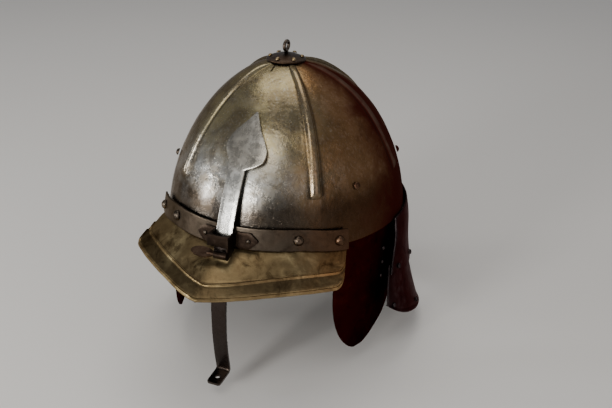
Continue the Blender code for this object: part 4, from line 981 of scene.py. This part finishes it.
class HELMET_OT_leathers(bpy.types.Operator):
    """Leather that carries the hanging plates"""
    bl_idname = "helmet.leathers"
    bl_label = "Leathers"

    def execute(self, context):
        hide = leather_material()
        for name in node_names("cheek_leather") + node_names("guard_leather"):
            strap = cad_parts[name]
            for place in strap.material_slots:
                place.material = hide
        return {"FINISHED"}


class HELMET_OT_rivets(bpy.types.Operator):
    """Every rivet head"""
    bl_idname = "helmet.rivets"
    bl_label = "Rivets"

    def execute(self, context):
        lame_rivets = node_names("upper_lame_rivet") + node_names("lower_lame_rivet")
        groups = (
            # name, nodes, finish, seed
            ("band_rivet_heads", node_names("band_rivet"), "rivet_steel", 2),
            ("skull_rivet_heads", node_names("skull_rivet"), "rivet_steel", 3),
            ("crown_rivet_heads", node_names("disc_rivet"), "rivet_brass", 4),
            ("staple_rivet_heads", node_names("staple_rivet"), "rivet_steel", 5),
            ("cheek_rivet_heads", node_names("cheek_rivet"), "rivet_dark", 6),
            ("guard_rivet_heads", lame_rivets, "rivet_dark", 7),
        )
        for name, nodes, finish, seed in groups:
            rivet_heads(name, nodes, finish, seed)
        return {"FINISHED"}


class HELMET_OT_stage(bpy.types.Operator):
    """Floor, lights and camera"""
    bl_idname = "helmet.stage"
    bl_label = "Stage"

    def execute(self, context):
        floor()
        lights()
        camera()
        return {"FINISHED"}


# Stage

def floor():
    sizes = bpy.context.scene.helmet_sizes
    half = sizes.floor_size / 2
    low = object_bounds()[0][2] - sizes.floor_gap
    mesh = bpy.data.meshes.new("floor")
    mesh.from_pydata([(-half, -half, low), (half, -half, low), (half, half, low), (-half, half, low)], [],
                     [(0, 1, 2, 3)])
    made, tree, shader, where = new_material("floor_paper")
    pale = bpy.context.scene.helmet_colours.floor
    shaded = rgba([channel * 0.97 for channel in pale])
    paper = blend_colour(tree, noise(tree, where, 3.0), shaded, rgba(pale))
    tree.links.new(paper, shader.inputs["Base Color"])
    shader.inputs["Roughness"].default_value = 0.85
    mesh.materials.append(made)
    link("floor", mesh)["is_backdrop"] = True


def area_light(name, place, aim, width, height, power, tint):
    data = bpy.data.lights.new(name, "AREA")
    data.shape = "RECTANGLE"
    data.size = width
    data.size_y = height
    data.energy = power
    data.color = tint
    lamp = bpy.data.objects.new(name, data)
    lamp.location = place
    lamp.rotation_euler = (Vector(aim) - Vector(place)).to_track_quat("-Z", "Y").to_euler()
    bpy.context.scene.collection.objects.link(lamp)


def lights():
    world = bpy.data.worlds.new("studio")
    bpy.context.scene.world = world
    world.use_nodes = True
    back = world.node_tree.nodes["Background"]
    back.inputs["Color"].default_value = (0.86, 0.87, 0.90, 1.0)
    back.inputs["Strength"].default_value = 0.32
    rows = (
        # name, place, aim, width, height, watts, tint
        ("key", (-0.28, -1.42, 0.34), (0.0, -0.05, 0.03), 0.34, 0.34, 12.0, (1.0, 0.99, 0.97)),
        ("left_key", (-1.25, -0.80, 0.15), (0.0, -0.05, 0.03), 0.34, 0.34, 7.0, (1.0, 0.98, 0.95)),
        ("front", (0.10, -1.10, 1.25), (0.0, -0.05, 0.03), 0.8, 0.8, 5.0, (1.0, 0.96, 0.88)),
        ("fill", (1.40, -0.90, 0.60), (0.0, 0.0, 0.0), 1.2, 1.2, 3.5, (1.0, 0.84, 0.76)),
        ("top", (-0.25, 0.45, 1.45), (0.0, 0.0, 0.05), 1.1, 1.1, 6.5, (1.0, 0.96, 0.90)),
    )
    for row in rows:
        area_light(*row)


def camera():
    azimuth = math.radians(CAMERA_AZIMUTH)
    elevation = math.radians(CAMERA_ELEVATION)
    roll = math.radians(CAMERA_ROLL)
    back = Vector((math.sin(azimuth) * math.cos(elevation), -math.cos(azimuth) * math.cos(elevation),
                   math.sin(elevation)))
    level = Vector((math.cos(azimuth), math.sin(azimuth), 0.0))
    above = back.cross(level)
    right = level * math.cos(roll) + above * math.sin(roll)
    up = above * math.cos(roll) - level * math.sin(roll)
    turn = Matrix((right, up, back)).transposed().to_4x4()
    data = bpy.data.cameras.new("camera")
    data.sensor_fit = "HORIZONTAL"
    data.sensor_width = 36.0
    data.lens = CAMERA_LENS
    data.clip_start = 0.01
    eye = bpy.data.objects.new("camera", data)
    eye.matrix_world = Matrix.Translation(CAMERA_PLACE) @ turn
    bpy.context.scene.collection.objects.link(eye)
    bpy.context.scene.camera = eye


class HELMET_PT_panel(bpy.types.Panel):
    """Buttons that build the helmet's pieces, with their sizes and colours"""
    bl_idname = "HELMET_PT_panel"
    bl_label = "Helmet"
    bl_space_type = "VIEW_3D"
    bl_region_type = "UI"
    bl_category = "Helmet"

    def draw(self, context):
        for operator in OPERATORS:
            self.layout.operator(operator.bl_idname)
        for group in (context.scene.helmet_sizes, context.scene.helmet_colours):
            box = self.layout.box()
            for name in group.__annotations__:
                box.prop(group, name)


OPERATORS = (HELMET_OT_skull, HELMET_OT_crown, HELMET_OT_brow_band, HELMET_OT_peak, HELMET_OT_nasal,
             HELMET_OT_staple, HELMET_OT_cheek_pieces, HELMET_OT_neck_guard, HELMET_OT_leathers,
             HELMET_OT_rivets, HELMET_OT_stage)
CLASSES = (HelmetSizes, HelmetColours) + OPERATORS + (HELMET_PT_panel,)


def register():
    for one in CLASSES:
        bpy.utils.register_class(one)
    bpy.types.Scene.helmet_sizes = bpy.props.PointerProperty(type=HelmetSizes)
    bpy.types.Scene.helmet_colours = bpy.props.PointerProperty(type=HelmetColours)


def unregister():
    del bpy.types.Scene.helmet_colours
    del bpy.types.Scene.helmet_sizes
    for one in reversed(CLASSES):
        bpy.utils.unregister_class(one)


def main():
    register()
    for operator in OPERATORS:
        space, name = operator.bl_idname.split(".")
        getattr(getattr(bpy.ops, space), name)()


if __name__ == "__main__":
    main()
